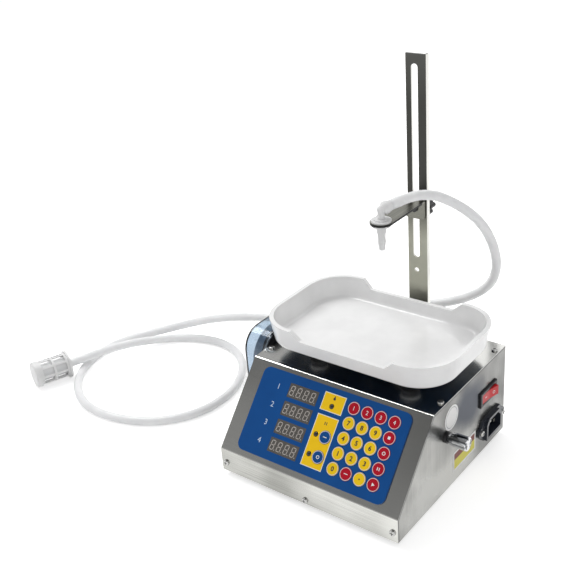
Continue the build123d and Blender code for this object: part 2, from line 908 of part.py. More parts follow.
def arm_bracket():
    """Bent strip: a vertical flange on the column and a rounded arm towards the pan."""
    half = arm_width / 2
    left = stand_x - half
    right = stand_x + half
    arm = block(left, right, nozzle_y, flange_back_y, arm_top - arm_thickness, arm_top)
    arm += rod_z(stand_x, nozzle_y, arm_top - arm_thickness, arm_top, half)
    flange = block(left, right, flange_front_y, flange_back_y, arm_flange_bottom, arm_top)
    low_edges = flange.edges().filter_by(Axis.Y).group_by(Axis.Z)[0]
    arm += fillet(low_edges, arm_flange_corner)
    outer_bend = arm.edges().filter_by(Axis.X).sort_by_distance(Vector(stand_x, flange_back_y, arm_top))[0]
    arm = fillet(outer_bend, arm_bend)
    inner_corner = Vector(stand_x, flange_front_y, arm_top - arm_thickness)
    inner_bend = arm.edges().filter_by(Axis.X).sort_by_distance(inner_corner)[0]
    arm = fillet(inner_bend, arm_bend - arm_thickness)
    arm -= rod_z(stand_x, nozzle_y, arm_top - 2 * arm_thickness, arm_top + 1, shank_radius + shank_play)
    arm -= rod_y(stand_x, stud_z, flange_front_y - 1, flange_back_y + 1, stud_radius + stud_play)
    return arm


knob_front_y = column_back_y + knob_gap
knob_back_y = knob_front_y + knob_hub_length + knob_thickness


def clamp_knob():
    """Star knob behind the column with its stud through the slot and the arm."""
    lobe_radius = knob_radius * 0.2
    grip_start = knob_front_y + knob_hub_length
    star = Circle(knob_radius - lobe_radius)
    star += PolarLocations(knob_radius - lobe_radius, knob_lobe_count, 90) * Circle(lobe_radius)
    star = fillet(star.vertices(), lobe_radius * 0.4)
    grip = Plane(origin=(stand_x, grip_start, stud_z), x_dir=(1, 0, 0), z_dir=(0, 1, 0))
    knob = extrude(grip.location * star, amount=knob_thickness, dir=(0, 1, 0))
    knob = chamfer(knob.edges().group_by(Axis.Y)[-1], 0.8)
    knob += rod_y(stand_x, stud_z, knob_front_y, grip_start, knob_hub_radius)
    knob += rod_y(stand_x, stud_z, flange_front_y - stud_proud, grip_start, stud_radius)
    return knob


elbow_level = cos(radians(elbow_tilt))
elbow_out = Vector(
    elbow_level * sin(radians(elbow_turn)), elbow_level * cos(radians(elbow_turn)), sin(radians(elbow_tilt))
)
elbow_centre = Vector(stand_x, nozzle_y, elbow_height)
hose_start = elbow_centre + elbow_out * collar_length
hose_run = 22.0


def along_elbow(start, length, near_radius, far_radius):
    """A cone or rod along the elbow's branch, start millimetres from its centre."""
    middle = elbow_centre + elbow_out * (start + length / 2)
    place = Plane(origin=middle, z_dir=elbow_out).location
    if near_radius == far_radius:
        return place * Cylinder(near_radius, length)
    return place * Cone(near_radius, far_radius, length)


def nozzle_elbow():
    """Elbow with a swollen collar and barb for the hose, a flange and a shank through the arm."""
    flange_top = arm_top + flange_thickness
    fitting = rod_z(stand_x, nozzle_y, arm_top, flange_top, flange_radius)
    fitting += rod_z(stand_x, nozzle_y, arm_top, flange_top + elbow_boss, elbow_boss_radius)
    fitting += rod_z(stand_x, nozzle_y, arm_top, elbow_height, elbow_radius)
    fitting += Pos(*elbow_centre) * Sphere(elbow_ball)
    shank_bottom = arm_top - arm_thickness - shank_reach
    fitting += rod_z(stand_x, nozzle_y, shank_bottom, arm_top, shank_radius)
    swell_start = collar_length * 0.4
    swell_end = collar_length * 0.6
    fitting += along_elbow(0, swell_start, elbow_radius, collar_radius)
    fitting += along_elbow(swell_start, swell_end - swell_start, collar_radius, collar_radius)
    fitting += along_elbow(swell_end, collar_length - swell_end, collar_radius, collar_end_radius)
    fitting += along_elbow(collar_length, barb_length, barb_radius, barb_radius * 0.9)
    fitting -= rod_z(stand_x, nozzle_y, shank_bottom - 1, elbow_height, spout_bore)
    fitting -= along_elbow(0, collar_length + barb_length + 1, spout_bore, spout_bore)
    return fitting


def nozzle_spout():
    """Barbed spout that screws on the elbow's shank under the arm."""
    flange_top = arm_top - arm_thickness
    neck_top = flange_top - spout_flange
    neck_low = spout_neck_radius * 0.85
    spout = rod_z(stand_x, nozzle_y, neck_top, flange_top, spout_flange_radius)
    spout += cone_z(stand_x, nozzle_y, spout_shoulder_z, neck_top, neck_low, spout_neck_radius)
    spout += rod_z(stand_x, nozzle_y, spout_barb_z, spout_shoulder_z, spout_radius)
    spout += cone_z(stand_x, nozzle_y, spout_tip_z, spout_barb_z, spout_tip_radius, spout_barb_radius)
    socket_bottom = flange_top - shank_reach - shank_end_gap
    spout -= rod_z(stand_x, nozzle_y, socket_bottom, flange_top + 1, shank_radius + shank_play)
    spout -= rod_z(stand_x, nozzle_y, spout_tip_z - 1, flange_top, spout_bore)
    return spout


def switch_bezel():
    """Black frame and housing of the rocker switch."""
    y0 = switch_y - switch_body_length / 2
    y1 = switch_y + switch_body_length / 2
    z0 = switch_z - switch_body_height / 2
    z1 = switch_z + switch_body_height / 2
    rim = block(
        right_x, right_x + switch_rim,
        switch_y - switch_length / 2, switch_y + switch_length / 2,
        switch_z - switch_height / 2, switch_z + switch_height / 2,
    )
    rim = chamfer(rim.faces().sort_by(Axis.X)[-1].edges(), switch_rim * 0.3)
    body = rim + block(right_x - switch_body_depth, right_x, y0, y1, z0, z1)
    cavity = block(
        right_x - rocker_pivot_depth - rocker_fall / 2, right_x + switch_rim + 1,
        y0 + switch_wall, y1 - switch_wall, z0 + switch_wall, z1 - switch_wall,
    )
    body -= cavity
    pivot_x = right_x + switch_rim - rocker_pivot_depth
    return body + rod_z(pivot_x, switch_y, z0, z1, rocker_pin_radius)


rocker_pivot_x = right_x + switch_rim - rocker_pivot_depth


def switch_rocker():
    """Red rocker, tipped on its pin so that its rear end stands up."""
    half = switch_body_length / 2 - switch_wall - rocker_gap - 0.6
    height = switch_body_height - 2 * switch_wall - 2 * rocker_gap
    dip = rocker_rise * 0.25
    outline = make_face(Polyline(
        (-rocker_thickness, -half), (rocker_rise, -half), (rocker_rise - dip, 0),
        (rocker_rise, half), (-rocker_thickness, half), close=True,
    ))
    level = extrude(outline, amount=height / 2, both=True)
    level -= Cylinder(rocker_pin_radius + rocker_pin_play, height + 1)
    return Pos(rocker_pivot_x, switch_y, switch_z) * Rot(0, 0, -rocker_fall) * level


def chamfered_block(x0, x1, length, height, corner):
    """A socket-shaped prism along X with its two upper corners cut off."""
    half = length / 2
    low = inlet_z - height / 2
    high = inlet_z + height / 2
    points = [
        (inlet_y - half, low), (inlet_y + half, low), (inlet_y + half, high - corner),
        (inlet_y + half - corner, high), (inlet_y - half + corner, high), (inlet_y - half, high - corner),
    ]
    return stretch_x(points, x0, x1)


def inlet_socket():
    """Mains inlet with eared flange, raised rim and cavity."""
    face = right_x + inlet_flange_thickness
    body = block(
        right_x, face,
        inlet_y - inlet_flange_length / 2, inlet_y + inlet_flange_length / 2,
        inlet_z - inlet_flange_height / 2, inlet_z + inlet_flange_height / 2,
    )
    for side in (-1, 1):
        ear_y = inlet_y + side * inlet_screw_pitch / 2
        root_y = inlet_y + side * inlet_flange_length / 2
        half = inlet_flange_height / 2
        slant = [
            (root_y, inlet_z - half), (ear_y, inlet_z - inlet_ear_radius),
            (ear_y, inlet_z + inlet_ear_radius), (root_y, inlet_z + half),
        ]
        body += stretch_x(slant, right_x, face)
        body += rod_x(ear_y, inlet_z, right_x, face, inlet_ear_radius)
    rim_length = inlet_cavity_length + 2 * inlet_rim
    rim_height = inlet_cavity_height + 2 * inlet_rim
    body += chamfered_block(face, face + inlet_rim, rim_length, rim_height, inlet_corner)
    body += block(
        right_x - inlet_body_depth, right_x,
        inlet_y - inlet_body_length / 2, inlet_y + inlet_body_length / 2,
        inlet_z - inlet_body_height / 2, inlet_z + inlet_body_height / 2,
    )
    mouth = face + inlet_rim
    body -= chamfered_block(
        mouth - inlet_cavity_depth, mouth + 1, inlet_cavity_length, inlet_cavity_height, inlet_corner
    )
    for pin in inlet_pin_boxes(0):
        body -= pin
    for hole in screw_holes():
        body -= hole
    return body


def inlet_pin_boxes(play):
    mouth = right_x + inlet_flange_thickness + inlet_rim
    cavity_end = mouth - inlet_cavity_depth
    x1 = cavity_end + pin_length
    x0 = right_x - inlet_body_depth - pin_tail
    places = [
        (inlet_y - pin_spread / 2, inlet_z - pin_drop / 2),
        (inlet_y, inlet_z + pin_drop / 2),
        (inlet_y + pin_spread / 2, inlet_z - pin_drop / 2),
    ]
    return [
        block(
            x0, x1, y - pin_thickness / 2 - play, y + pin_thickness / 2 + play,
            z - pin_width / 2 - play, z + pin_width / 2 + play,
        )
        for y, z in places
    ]


def speed_knob():
    """Turned metal knob with a knurled ring, on the control's shaft."""
    start = right_x + speed_collar + speed_gap
    knob = rod_x(speed_y, speed_z, start, start + speed_neck, speed_neck_radius)
    ring_start = start + speed_neck
    ring = rod_x(speed_y, speed_z, ring_start, ring_start + speed_knurl, speed_knurl_radius)
    knob += chamfer(ring.edges(), 0.4)
    barrel_start = ring_start + speed_knurl
    barrel = rod_x(speed_y, speed_z, barrel_start, barrel_start + speed_barrel, speed_barrel_radius)
    knob += fillet(barrel.edges().sort_by(Axis.X)[-1], 0.8)
    return knob + rod_x(speed_y, speed_z, right_x - pot_shaft_hole + 1, start, speed_shaft_radius)


def speed_control():
    """Black collar, threaded bush and case of the speed control."""
    body = rod_x(speed_y, speed_z, right_x, right_x + speed_collar, speed_collar_radius)
    body += rod_x(speed_y, speed_z, inner_right, right_x, pot_bush_radius)
    body += rod_x(speed_y, speed_z, inner_right - pot_depth, inner_right, pot_radius)
    hole_start = right_x - pot_shaft_hole
    return body - rod_x(
        speed_y, speed_z, hole_start, right_x + speed_collar + 1, speed_shaft_radius + speed_shaft_play
    )


def power_supply():
    """Supply block on four short feet, behind the load cell."""
    y1 = rear_y - supply_back_gap
    y0 = y1 - supply_depth
    body = block(
        supply_x[0], supply_x[1], y0, y1,
        inner_z + supply_stand, inner_z + supply_stand + supply_height,
    )
    for x in (supply_x[0] + 5, supply_x[1] - 5):
        for y in (y0 + 5, y1 - 5):
            body += rod_z(x, y, inner_z, inner_z + supply_stand, 2.5)
    return body


# Tubes that hang and lie free. Points are chosen by hand along each tube's middle.
lay_z = tube_outer + 0.3
over_z = 3 * tube_outer + 1.2
strainer_axis_z = strainer_flange_radius + strainer_lift
strainer_dir = Vector(-0.37, -0.929, 0).normalized()
strainer_face = Vector(-349.8, 42.0, strainer_axis_z)
strainer_run = 24.0

inlet_route = [
    (tube_x, port_y, pump_z - tube_offset),
    (tube_x, port_y + 16, pump_z - tube_offset),
    (-113.0, 175.0, 51.8),
    (-130.0, 190.0, 51.4),
    (-157.0, 193.0, 50.2),
    (-187.0, 187.5, 47.6),
    (-221.0, 183.5, 41.0),
    (-262.0, 178.5, 29.4),
    (-297.0, 169.0, 16.6),
    (-322.0, 156.0, 8.4),
    (-339.0, 140.0, lay_z + 0.6),
    (-349.0, 118.0, lay_z),
    (-352.0, 93.0, lay_z),
    (-348.0, 68.0, lay_z),
    (-337.0, 45.0, lay_z),
    (-319.0, 24.5, lay_z),
    (-295.0, 9.0, lay_z),
    (-267.0, 2.5, lay_z),
    (-237.0, 5.5, lay_z),
    (-209.0, 16.0, lay_z),
    (-186.0, 35.0, lay_z),
    (-172.0, 60.0, lay_z),
    (-168.0, 88.0, lay_z),
    (-173.0, 117.0, lay_z),
    (-188.0, 145.0, lay_z),
    (-211.0, 166.0, lay_z),
    (-239.0, 176.0, lay_z),
    (-268.0, 173.0, lay_z),
    (-295.0, 160.0, lay_z + 0.4),
    (-315.0, 140.5, 6.2),
    (-327.5, 116.0, 10.4),
    (-334.6, 90.0, over_z - 0.4),
    tuple(strainer_face - strainer_dir * strainer_run),
    tuple(strainer_face),
]

# Points behind the case: x, distance behind its back, share of the height from pump to elbow
port_z = pump_z + tube_offset
outlet_fall = [
    (21.0, -4.6, 0.989),
    (31.5, 7.2, 0.931),
    (42.5, 19.4, 0.846),
    (51.0, 31.0, 0.739),
    (55.5, 41.5, 0.607),
    (57.0, 50.5, 0.46),
    (54.0, 58.0, 0.318),
    (45.0, 64.0, 0.182),
    (28.0, 65.0, 0.068),
    (5.5, 62.5, -0.014),
    (-18.0, 56.5, -0.061),
    (-43.0, 48.2, -0.068),
    (-68.0, 38.2, -0.057),
    (-89.0, 25.0, -0.039),
    (-102.0, 7.5, -0.018),
]
outlet_route = (
    [tuple(hose_start), tuple(hose_start + elbow_out * hose_run)]
    + [(x, rear_y + behind, port_z + share * (elbow_height - port_z)) for x, behind, share in outlet_fall]
    + [(-106.0, port_y + 35, port_z), (tube_x, port_y + 15, port_z), (tube_x, port_y, port_z)]
)


def hose(route):
    """A tube along straight runs joined by the largest arcs that the runs allow."""
    points = [Vector(*point) for point in route]
    runs = [(after - before).length for before, after in zip(points, points[1:])]
    radii = []
    for index in range(1, len(points) - 1):
        into = points[index] - points[index - 1]
        out = points[index + 1] - points[index]
        turn = radians(into.get_angle(out))
        radii.append(0.45 * min(runs[index - 1], runs[index]) / tan(turn / 2))
    path = FilletPolyline(*points, radius=radii)
    start = Plane(origin=points[0], z_dir=points[1] - points[0])
    section = start.location * (Circle(tube_outer) - Circle(tube_bore))
    tube = sweep(section, path=path)
    area = pi * (tube_outer ** 2 - tube_bore ** 2)
    print("runs", [round(run, 1) for run in runs])
    print("radii", [round(radius, 1) for radius in radii])
    print("length", round(path.length, 1), "volume share", round(tube.volume / (area * path.length), 4))
    return tube


def strainer_place():
    """Axes at the strainer's flange face, with Z towards its closed end."""
    return Plane(origin=strainer_face, z_dir=strainer_dir, x_dir=(0, 0, 1)).location


def strainer_cage():
    """Windowed cage with its wide flange and the neck that the tube is pushed on."""
    flange = Pos(0, 0, strainer_flange / 2) * Cylinder(strainer_flange_radius, strainer_flange)
    length = strainer_cage_length
    inner_radius = strainer_cage_radius - strainer_cage_wall
    wall = Cylinder(strainer_cage_radius, length) - Cylinder(inner_radius, length)
    wall = Pos(0, 0, strainer_flange + length / 2) * wall
    pane = (length - 3 * strainer_rib) / 2
    gap_width = 2 * pi * strainer_cage_radius / strainer_window_count - strainer_rib
    for index in range(strainer_window_count):
        turn = Rot(0, 0, 360 / strainer_window_count * (index + 0.5))
        for row in range(2):
            low = strainer_flange + strainer_rib + row * (pane + strainer_rib)
            cutter = Box(6 * strainer_cage_wall, gap_width, pane)
            cutter = Pos(strainer_cage_radius, 0, low + pane / 2) * cutter
            wall -= turn * cutter
    neck = Pos(0, 0, -strainer_neck_length / 2) * Cylinder(barb_radius, strainer_neck_length)
    cage = flange + wall + neck
    cage -= Pos(0, 0, -strainer_neck_length) * Cylinder(spout_bore, 3 * strainer_neck_length)
    return strainer_place() * cage


def strainer_cap():
    start = strainer_flange + strainer_cage_length
    cap = Pos(0, 0, start + strainer_cap_length / 2) * Cylinder(strainer_cap_radius, strainer_cap_length)
    cap = fillet(cap.edges().sort_by(Axis.Z)[-1], 2.0)
    return strainer_place() * cap


def strainer_screen():
    length = strainer_cage_length
    screen = Cylinder(strainer_screen_radius, length)
    screen -= Cylinder(strainer_screen_radius - strainer_screen_wall, length)
    return strainer_place() * Pos(0, 0, strainer_flange + length / 2) * screen


# Footprint, for the origin
left_reach = half_width + cover_reach
knob_length = speed_collar + speed_gap + speed_neck + speed_knurl + speed_barrel
right_reach = half_width + knob_length
front_reach = screw_head_height
origin_shift = Location(((left_reach - right_reach) / 2, (front_reach - knob_back_y) / 2, 0))


def nodes():
    made = {
        "base_tray": base_tray(),
        "main_cover": main_cover(),
        "rear_panel": rear_panel(),
        "rubber_feet": rubber_feet(),
        "panel_screws": panel_screws(),
        "keypad_overlay": keypad_overlay(),
        "display_windows": display_windows(),
        "control_board": control_board(),
        "load_cell": load_cell(),
        "load_cell_mount": load_cell_mount(),
        "pan_support": pan_support(),
        "pan_pads": pan_pads(),
        "weighing_pan": weighing_pan(),
        "pump_motor": pump_motor(),
        "pump_base": pump_base(),
        "pump_cover": pump_cover(),
        "pump_rotor": pump_rotor(),
        "pump_tube": pump_tube(),
        "column": column(),
        "arm_bracket": arm_bracket(),
        "clamp_knob": clamp_knob(),
        "nozzle_elbow": nozzle_elbow(),
        "nozzle_spout": nozzle_spout(),
        "switch_bezel": switch_bezel(),
        "switch_rocker": switch_rocker(),
        "inlet_socket": inlet_socket(),
        "inlet_pins": inlet_pin_boxes(0),
        "speed_knob": speed_knob(),
        "speed_control": speed_control(),
        "power_supply": power_supply(),
        "inlet_tube": hose(inlet_route),
        "outlet_tube": hose(outlet_route),
        "strainer_cage": strainer_cage(),
        "strainer_cap": strainer_cap(),
        "strainer_screen": strainer_screen(),
    }
    for index, place in enumerate(roller_places()):
        made[f"pump_roller_{index + 1}"] = roller(*place)
    for name, x, down in key_places():
        made[name] = key_solid(x, down)
    return made


os.makedirs("parts", exist_ok=True)
for node, shape in nodes().items():
    pieces = shape if isinstance(shape, list) else [shape]
    solids = [solid.moved(origin_shift) for piece in pieces for solid in piece.solids()]
    export_step(Compound(solids) if len(solids) > 1 else solids[0], f"parts/{node}.step")
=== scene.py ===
import math
import bpy
import numpy as np
from mathutils import Matrix, Vector


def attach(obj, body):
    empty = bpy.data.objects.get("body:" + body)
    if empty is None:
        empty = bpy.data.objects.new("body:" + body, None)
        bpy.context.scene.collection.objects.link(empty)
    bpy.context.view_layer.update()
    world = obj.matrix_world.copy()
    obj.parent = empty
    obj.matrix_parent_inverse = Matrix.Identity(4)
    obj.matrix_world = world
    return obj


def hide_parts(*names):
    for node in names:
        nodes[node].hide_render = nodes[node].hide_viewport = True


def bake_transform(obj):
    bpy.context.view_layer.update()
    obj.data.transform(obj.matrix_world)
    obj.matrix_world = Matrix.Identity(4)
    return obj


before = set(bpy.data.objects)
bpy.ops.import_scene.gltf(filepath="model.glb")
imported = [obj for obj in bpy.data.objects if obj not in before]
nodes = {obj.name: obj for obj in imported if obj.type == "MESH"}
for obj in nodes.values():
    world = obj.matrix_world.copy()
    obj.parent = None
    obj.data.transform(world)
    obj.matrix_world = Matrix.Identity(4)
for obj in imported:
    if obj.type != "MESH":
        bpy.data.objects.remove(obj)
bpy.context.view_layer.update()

print("frame loaded:", len(nodes), "nodes")

# Places are millimetres from the case's middle, its front lip and the floor, as on a drawing.
# offset carries them to the frame, whose origin is the middle of the machine's footprint.
offset = np.array([2.5, -100.75, 0.0])


def place(points):
    # millimetres on the drawing to metres in the frame
    return (np.asarray(points, float) + offset) / 1000.0


# The sloping panel: across is x, down runs from its top edge, off is the height above it
slopeTop = np.array([0.0, 58.5, 94.0])
slopeAngle = math.atan2(94.0 - 28.0, 58.5)
slopeDown = np.array([0.0, -math.cos(slopeAngle), -math.sin(slopeAngle)])
slopeOff = np.array([0.0, -math.sin(slopeAngle), math.cos(slopeAngle)])


def onSlope(across, down, off):
    # points on the panel: top edge + across on x + down along the slope + off along its normal
    across, down, off = np.broadcast_arrays(*(np.asarray(v, float) for v in (across, down, off)))
    return (
        slopeTop
        + across[..., None] * np.array([1.0, 0.0, 0.0])
        + down[..., None] * slopeDown
        + off[..., None] * slopeOff
    )


# Camera, at the photograph's place
camera = {
    "place": (413.1, -507.5, 539.7),
    "azimuth": 39.33,
    "elevation": 26.38,
    "roll": -4.66,
    "lens": 60.70,
}


def makeCamera():
    az, el, roll = (math.radians(camera[k]) for k in ("azimuth", "elevation", "roll"))
    back = Vector((math.sin(az) * math.cos(el), -math.cos(az) * math.cos(el), math.sin(el)))
    level = Vector((math.cos(az), math.sin(az), 0.0))
    upright = back.cross(level)
    right = level * math.cos(roll) + upright * math.sin(roll)
    up = upright * math.cos(roll) - level * math.sin(roll)
    lens = bpy.data.cameras.new("camera")
    lens.sensor_width = 36.0
    lens.lens = camera["lens"]
    lens.clip_start = 0.01
    lens.clip_end = 50.0
    eye = bpy.data.objects.new("camera", lens)
    turn = Matrix((right, up, back)).transposed().to_4x4()
    eye.matrix_world = Matrix.Translation(Vector(place(camera["place"]))) @ turn
    bpy.context.scene.collection.objects.link(eye)
    bpy.context.scene.camera = eye


makeCamera()


# Small helpers for node trees
allBlack = (0.0, 0.0, 0.0)
allWhite = (1.0, 1.0, 1.0)


def newMaterial(name):
    made = bpy.data.materials.new(name)
    made.use_nodes = True
    return made, made.node_tree, made.node_tree.nodes["Principled BSDF"]


def setSockets(shader, values):
    for socket, value in values.items():
        shader.inputs[socket].default_value = value


def objectCoordinates(tree, scale=(1, 1, 1)):
    source = tree.nodes.new("ShaderNodeTexCoord")
    mapping = tree.nodes.new("ShaderNodeMapping")
    mapping.inputs["Scale"].default_value = scale
    tree.links.new(source.outputs["Object"], mapping.inputs["Vector"])
    return mapping.outputs["Vector"]


def axesOf(tree, vector):
    parts = tree.nodes.new("ShaderNodeSeparateXYZ")
    tree.links.new(vector, parts.inputs["Vector"])
    return parts.outputs


def spotAxes(tree):
    # where a point of the piece is, in metres
    return axesOf(tree, tree.nodes.new("ShaderNodeTexCoord").outputs["Object"])


def facingAxes(tree, kind="True Normal"):
    # which way the surface looks there
    return axesOf(tree, tree.nodes.new("ShaderNodeNewGeometry").outputs[kind])


def noise(tree, vector, scale, detail=3.0):
    made = tree.nodes.new("ShaderNodeTexNoise")
    made.inputs["Scale"].default_value = scale
    made.inputs["Detail"].default_value = detail
    made.inputs["Roughness"].default_value = 0.5
    tree.links.new(vector, made.inputs["Vector"])
    return made.outputs["Fac"]


def ramp(tree, factor, stops):
    made = tree.nodes.new("ShaderNodeValToRGB")
    steps = made.color_ramp.elements
    while len(steps) < len(stops):
        steps.new(0.5)
    for step, (position, colour) in zip(steps, stops):
        step.position = position
        step.color = (*colour, 1.0)
    tree.links.new(factor, made.inputs["Fac"])
    return made.outputs["Color"]


def rangeOf(tree, factor, low, high, start=0.0, end=1.0):
    # start to end becomes low to high, and holds still outside
    made = tree.nodes.new("ShaderNodeMapRange")
    made.inputs["From Min"].default_value = start
    made.inputs["From Max"].default_value = end
    made.inputs["To Min"].default_value = low
    made.inputs["To Max"].default_value = high
    tree.links.new(factor, made.inputs["Value"])
    return made.outputs["Result"]


def maths(tree, operation, *inputs):
    made = tree.nodes.new("ShaderNodeMath")
    made.operation = operation
    for socket, value in zip(made.inputs, inputs):
        if isinstance(value, (int, float)):
            socket.default_value = value
        else:
            tree.links.new(value, socket)
    return made.outputs["Value"]


def blendOf(tree, first, second, share):
    # share of the first plus the rest of the second
    return maths(tree, "MULTIPLY_ADD", first, share, maths(tree, "MULTIPLY", second, 1.0 - share))


def bump(tree, shader, height, strength, distance):
    made = tree.nodes.new("ShaderNodeBump")
    made.inputs["Strength"].default_value = strength
    made.inputs["Distance"].default_value = distance
    tree.links.new(height, made.inputs["Height"])
    tree.links.new(made.outputs["Normal"], shader.inputs["Normal"])


def mixColour(tree, factor, first, second):
    made = tree.nodes.new("ShaderNodeMix")
    made.data_type = "RGBA"
    slots = {s.identifier: s for s in made.inputs}
    tree.links.new(factor, slots["Factor_Float"])
    for key, value in (("A_Color", first), ("B_Color", second)):
        if isinstance(value, tuple):
            slots[key].default_value = (*value, 1.0)
        else:
            tree.links.new(value, slots[key])
    return next(s for s in made.outputs if s.identifier == "Result_Color")


# Finishes: waves per metre of the noises, and their relief in metres
grain = {"across": 1400.0, "along": 12.0, "relief": 0.00004}
skin = {"mottle": 40.0, "pores": 900.0, "relief": 0.00005}


def steelGrain(tree, axis):
    # fine noise drawn out along one axis: 0 is x, 1 is y, 2 is z
    stretch = [grain["across"]] * 3
    stretch[axis] = grain["along"]
    return noise(tree, objectCoordinates(tree, scale=stretch), 1.0, 2.0)


def steelFinish(tree, shader, colour, gloss, roughness, lines, depth, metallic=1.0):
    # colour and gloss on their sockets, and the grain's lines as fine relief
    tree.links.new(colour, shader.inputs["Base Color"])
    tree.links.new(rangeOf(tree, gloss, *roughness), shader.inputs["Roughness"])
    setSockets(shader, {"Metallic": metallic})
    bump(tree, shader, lines, depth, grain["relief"])


def brushedSteel(name, dark, light, roughness, axis):
    # straight grain along one axis, with wide soft clouds in colour and gloss
    made, tree, shader = newMaterial(name)
    lines = steelGrain(tree, axis)
    blend = blendOf(tree, lines, noise(tree, objectCoordinates(tree), 9.0, 2.0), 0.4)
    tint = ramp(tree, blend, [(0.3, dark), (0.7, light)])
    steelFinish(tree, shader, tint, blend, (roughness - 0.05, roughness + 0.08), lines, 0.12)
    return made


# Case sides. The cloudy reflection on the right one has its middle and half sizes along y and z,
# in millimetres, and lies only beyond an x.
sidePanel = {
    "steel": [(0.34, (0.125, 0.125, 0.12)), (0.64, (0.50, 0.50, 0.48))],
    "roughness": (0.2, 0.32),
    "reflection": (0.035, 0.042, 0.058),
    "middle": (119.0, 68.0),
    "half": (44.0, 32.0),
    "beyond": 90.0,
}


def sideSteel(name):
    # upright grain and soft clouds, and behind the knob the dark reflection of the room, whose
    # edge is an ellipse that the clouds push in and out
    made, tree, shader = newMaterial(name)
    spot = spotAxes(tree)
    lines = steelGrain(tree, 2)
    clouds = noise(tree, objectCoordinates(tree), 16.0, 2.0)
    shade = blendOf(tree, lines, clouds, 0.16)
    middle = place((0.0, *sidePanel["middle"]))[1:]
    squares = []
    for axis, centre, half in zip("YZ", middle.tolist(), sidePanel["half"]):
        away = maths(tree, "MULTIPLY_ADD", spot[axis], 1000.0 / half, -1000.0 * centre / half)
        squares.append(maths(tree, "MULTIPLY", away, away))
    reach = maths(tree, "ADD", maths(tree, "ADD", *squares), maths(tree, "MULTIPLY", clouds, 0.8))
    inside = ramp(tree, reach, [(0.45, allWhite), (1.0, allBlack)])
    onRight = maths(tree, "GREATER_THAN", spot["X"], float(place((sidePanel["beyond"], 0, 0))[0]))
    cover = maths(tree, "MULTIPLY", inside, onRight)
    colour = mixColour(tree, cover, ramp(tree, shade, sidePanel["steel"]), sidePanel["reflection"])
    steelFinish(tree, shader, colour, shade, sidePanel["roughness"], lines, 0.1)
    return made


# Main cover: its shades on the slope, the level top, the front lip and the fold between them. The slope,
# top and lip shades are painted reflections over the steel's grain, and the fold's shade is a painted
# highlight
coverTones = {
    "slope": [(0.3, (0.30, 0.30, 0.29)), (0.7, (0.41, 0.41, 0.395))],
    "top": [(0.3, (0.42, 0.42, 0.405)), (0.7, (0.58, 0.58, 0.56))],
    "lip": [(0.36, (0.30, 0.30, 0.28)), (0.62, (0.62, 0.62, 0.59))],
    "fold": (0.93, 0.93, 0.91),
    "roughness": (0.17, 0.25),
}


def coverSteel(name):
    # grain along x; painted reflections make the slope a dull mid grey and the top and the lip lighter,
    # and a painted highlight makes the fold bright
    made, tree, shader = newMaterial(name)
    lines = steelGrain(tree, 0)
    blend = blendOf(tree, lines, noise(tree, objectCoordinates(tree), 12.0, 2.0), 0.25)
    facing = facingAxes(tree, "Normal")
    # which way the surface faces picks the painted highlight on the fold and the painted reflections on
    # the top and the lip
    upward = ramp(tree, facing["Z"], [(0.74, allBlack), (0.88, allWhite)])
    level = ramp(tree, facing["Z"], [(0.97, allBlack), (0.995, allWhite)])
    ahead = maths(tree, "MULTIPLY", facing["Y"], -1.0)
    forward = ramp(tree, ahead, [(0.84, allBlack), (0.97, allWhite)])
    slope, top, lip = (ramp(tree, blend, coverTones[part]) for part in ("slope", "top", "lip"))
    raised = mixColour(tree, level, mixColour(tree, upward, slope, coverTones["fold"]), top)
    colour = mixColour(tree, forward, raised, lip)
    steelFinish(tree, shader, colour, blend, coverTones["roughness"], lines, 0.04)
    return made


# Arm: its steel, and the painted dark reflection on the cut edge, which ends before the flange, at a y
# in millimetres
armTones = {
    "steel": [(0.3, (0.15, 0.15, 0.13)), (0.7, (0.24, 0.24, 0.205))],
    "edge": (0.02, 0.02, 0.02),
    "edgeEnd": 182.0,
    "roughness": (0.26, 0.36),
}


def armSteel(name):
    # pale on its top and flange, and a painted dark reflection makes the cut edge that runs round the
    # arm near black
    made, tree, shader = newMaterial(name)
    upright = maths(tree, "LESS_THAN", maths(tree, "ABSOLUTE", facingAxes(tree)["Z"]), 0.3)
    edgeEnd = float(place((0, armTones["edgeEnd"], 0))[1])
    # the painted dark reflection covers the upright faces short of the flange
    edge = maths(tree, "MULTIPLY", upright, maths(tree, "LESS_THAN", spotAxes(tree)["Y"], edgeEnd))
    lines = steelGrain(tree, 1)
    colour = mixColour(tree, edge, ramp(tree, lines, armTones["steel"]), armTones["edge"])
    steelFinish(tree, shader, colour, lines, armTones["roughness"], lines, 0.12)
    return made


def streakedChrome(name):
    # bright chrome with long dark and light streaks along x, as it shows the room round it
    made, tree, shader = newMaterial(name)
    streaks = noise(tree, objectCoordinates(tree, scale=(8, 260, 260)), 1.0, 1.0)
    tint = ramp(tree, streaks, [
        (0.38, (0.07, 0.075, 0.08)), (0.47, (0.55, 0.56, 0.58)), (0.6, (0.86, 0.86, 0.87)),
    ])
    tree.links.new(tint, shader.inputs["Base Color"])
    tree.links.new(rangeOf(tree, streaks, 0.06, 0.14), shader.inputs["Roughness"])
    setSockets(shader, {"Metallic": 1.0})
    return made


# Column: the painted reflections on its front from one height to another, in metres, and the painted
# light on its folded edge
columnTones = {
    "heights": (0.094, 0.350),
    "front": [
        (0.0, (0.09, 0.09, 0.08)), (0.08, (0.15, 0.15, 0.125)), (0.16, (0.39, 0.39, 0.32)),
        (0.33, (0.42, 0.42, 0.35)), (0.43, (0.12, 0.12, 0.10)), (0.52, (0.045, 0.045, 0.040)),
        (0.82, (0.045, 0.045, 0.040)), (1.0, (0.08, 0.08, 0.074)),
    ],
    "folded": (0.80, 0.80, 0.76),
    "roughness": (0.26, 0.36),
}


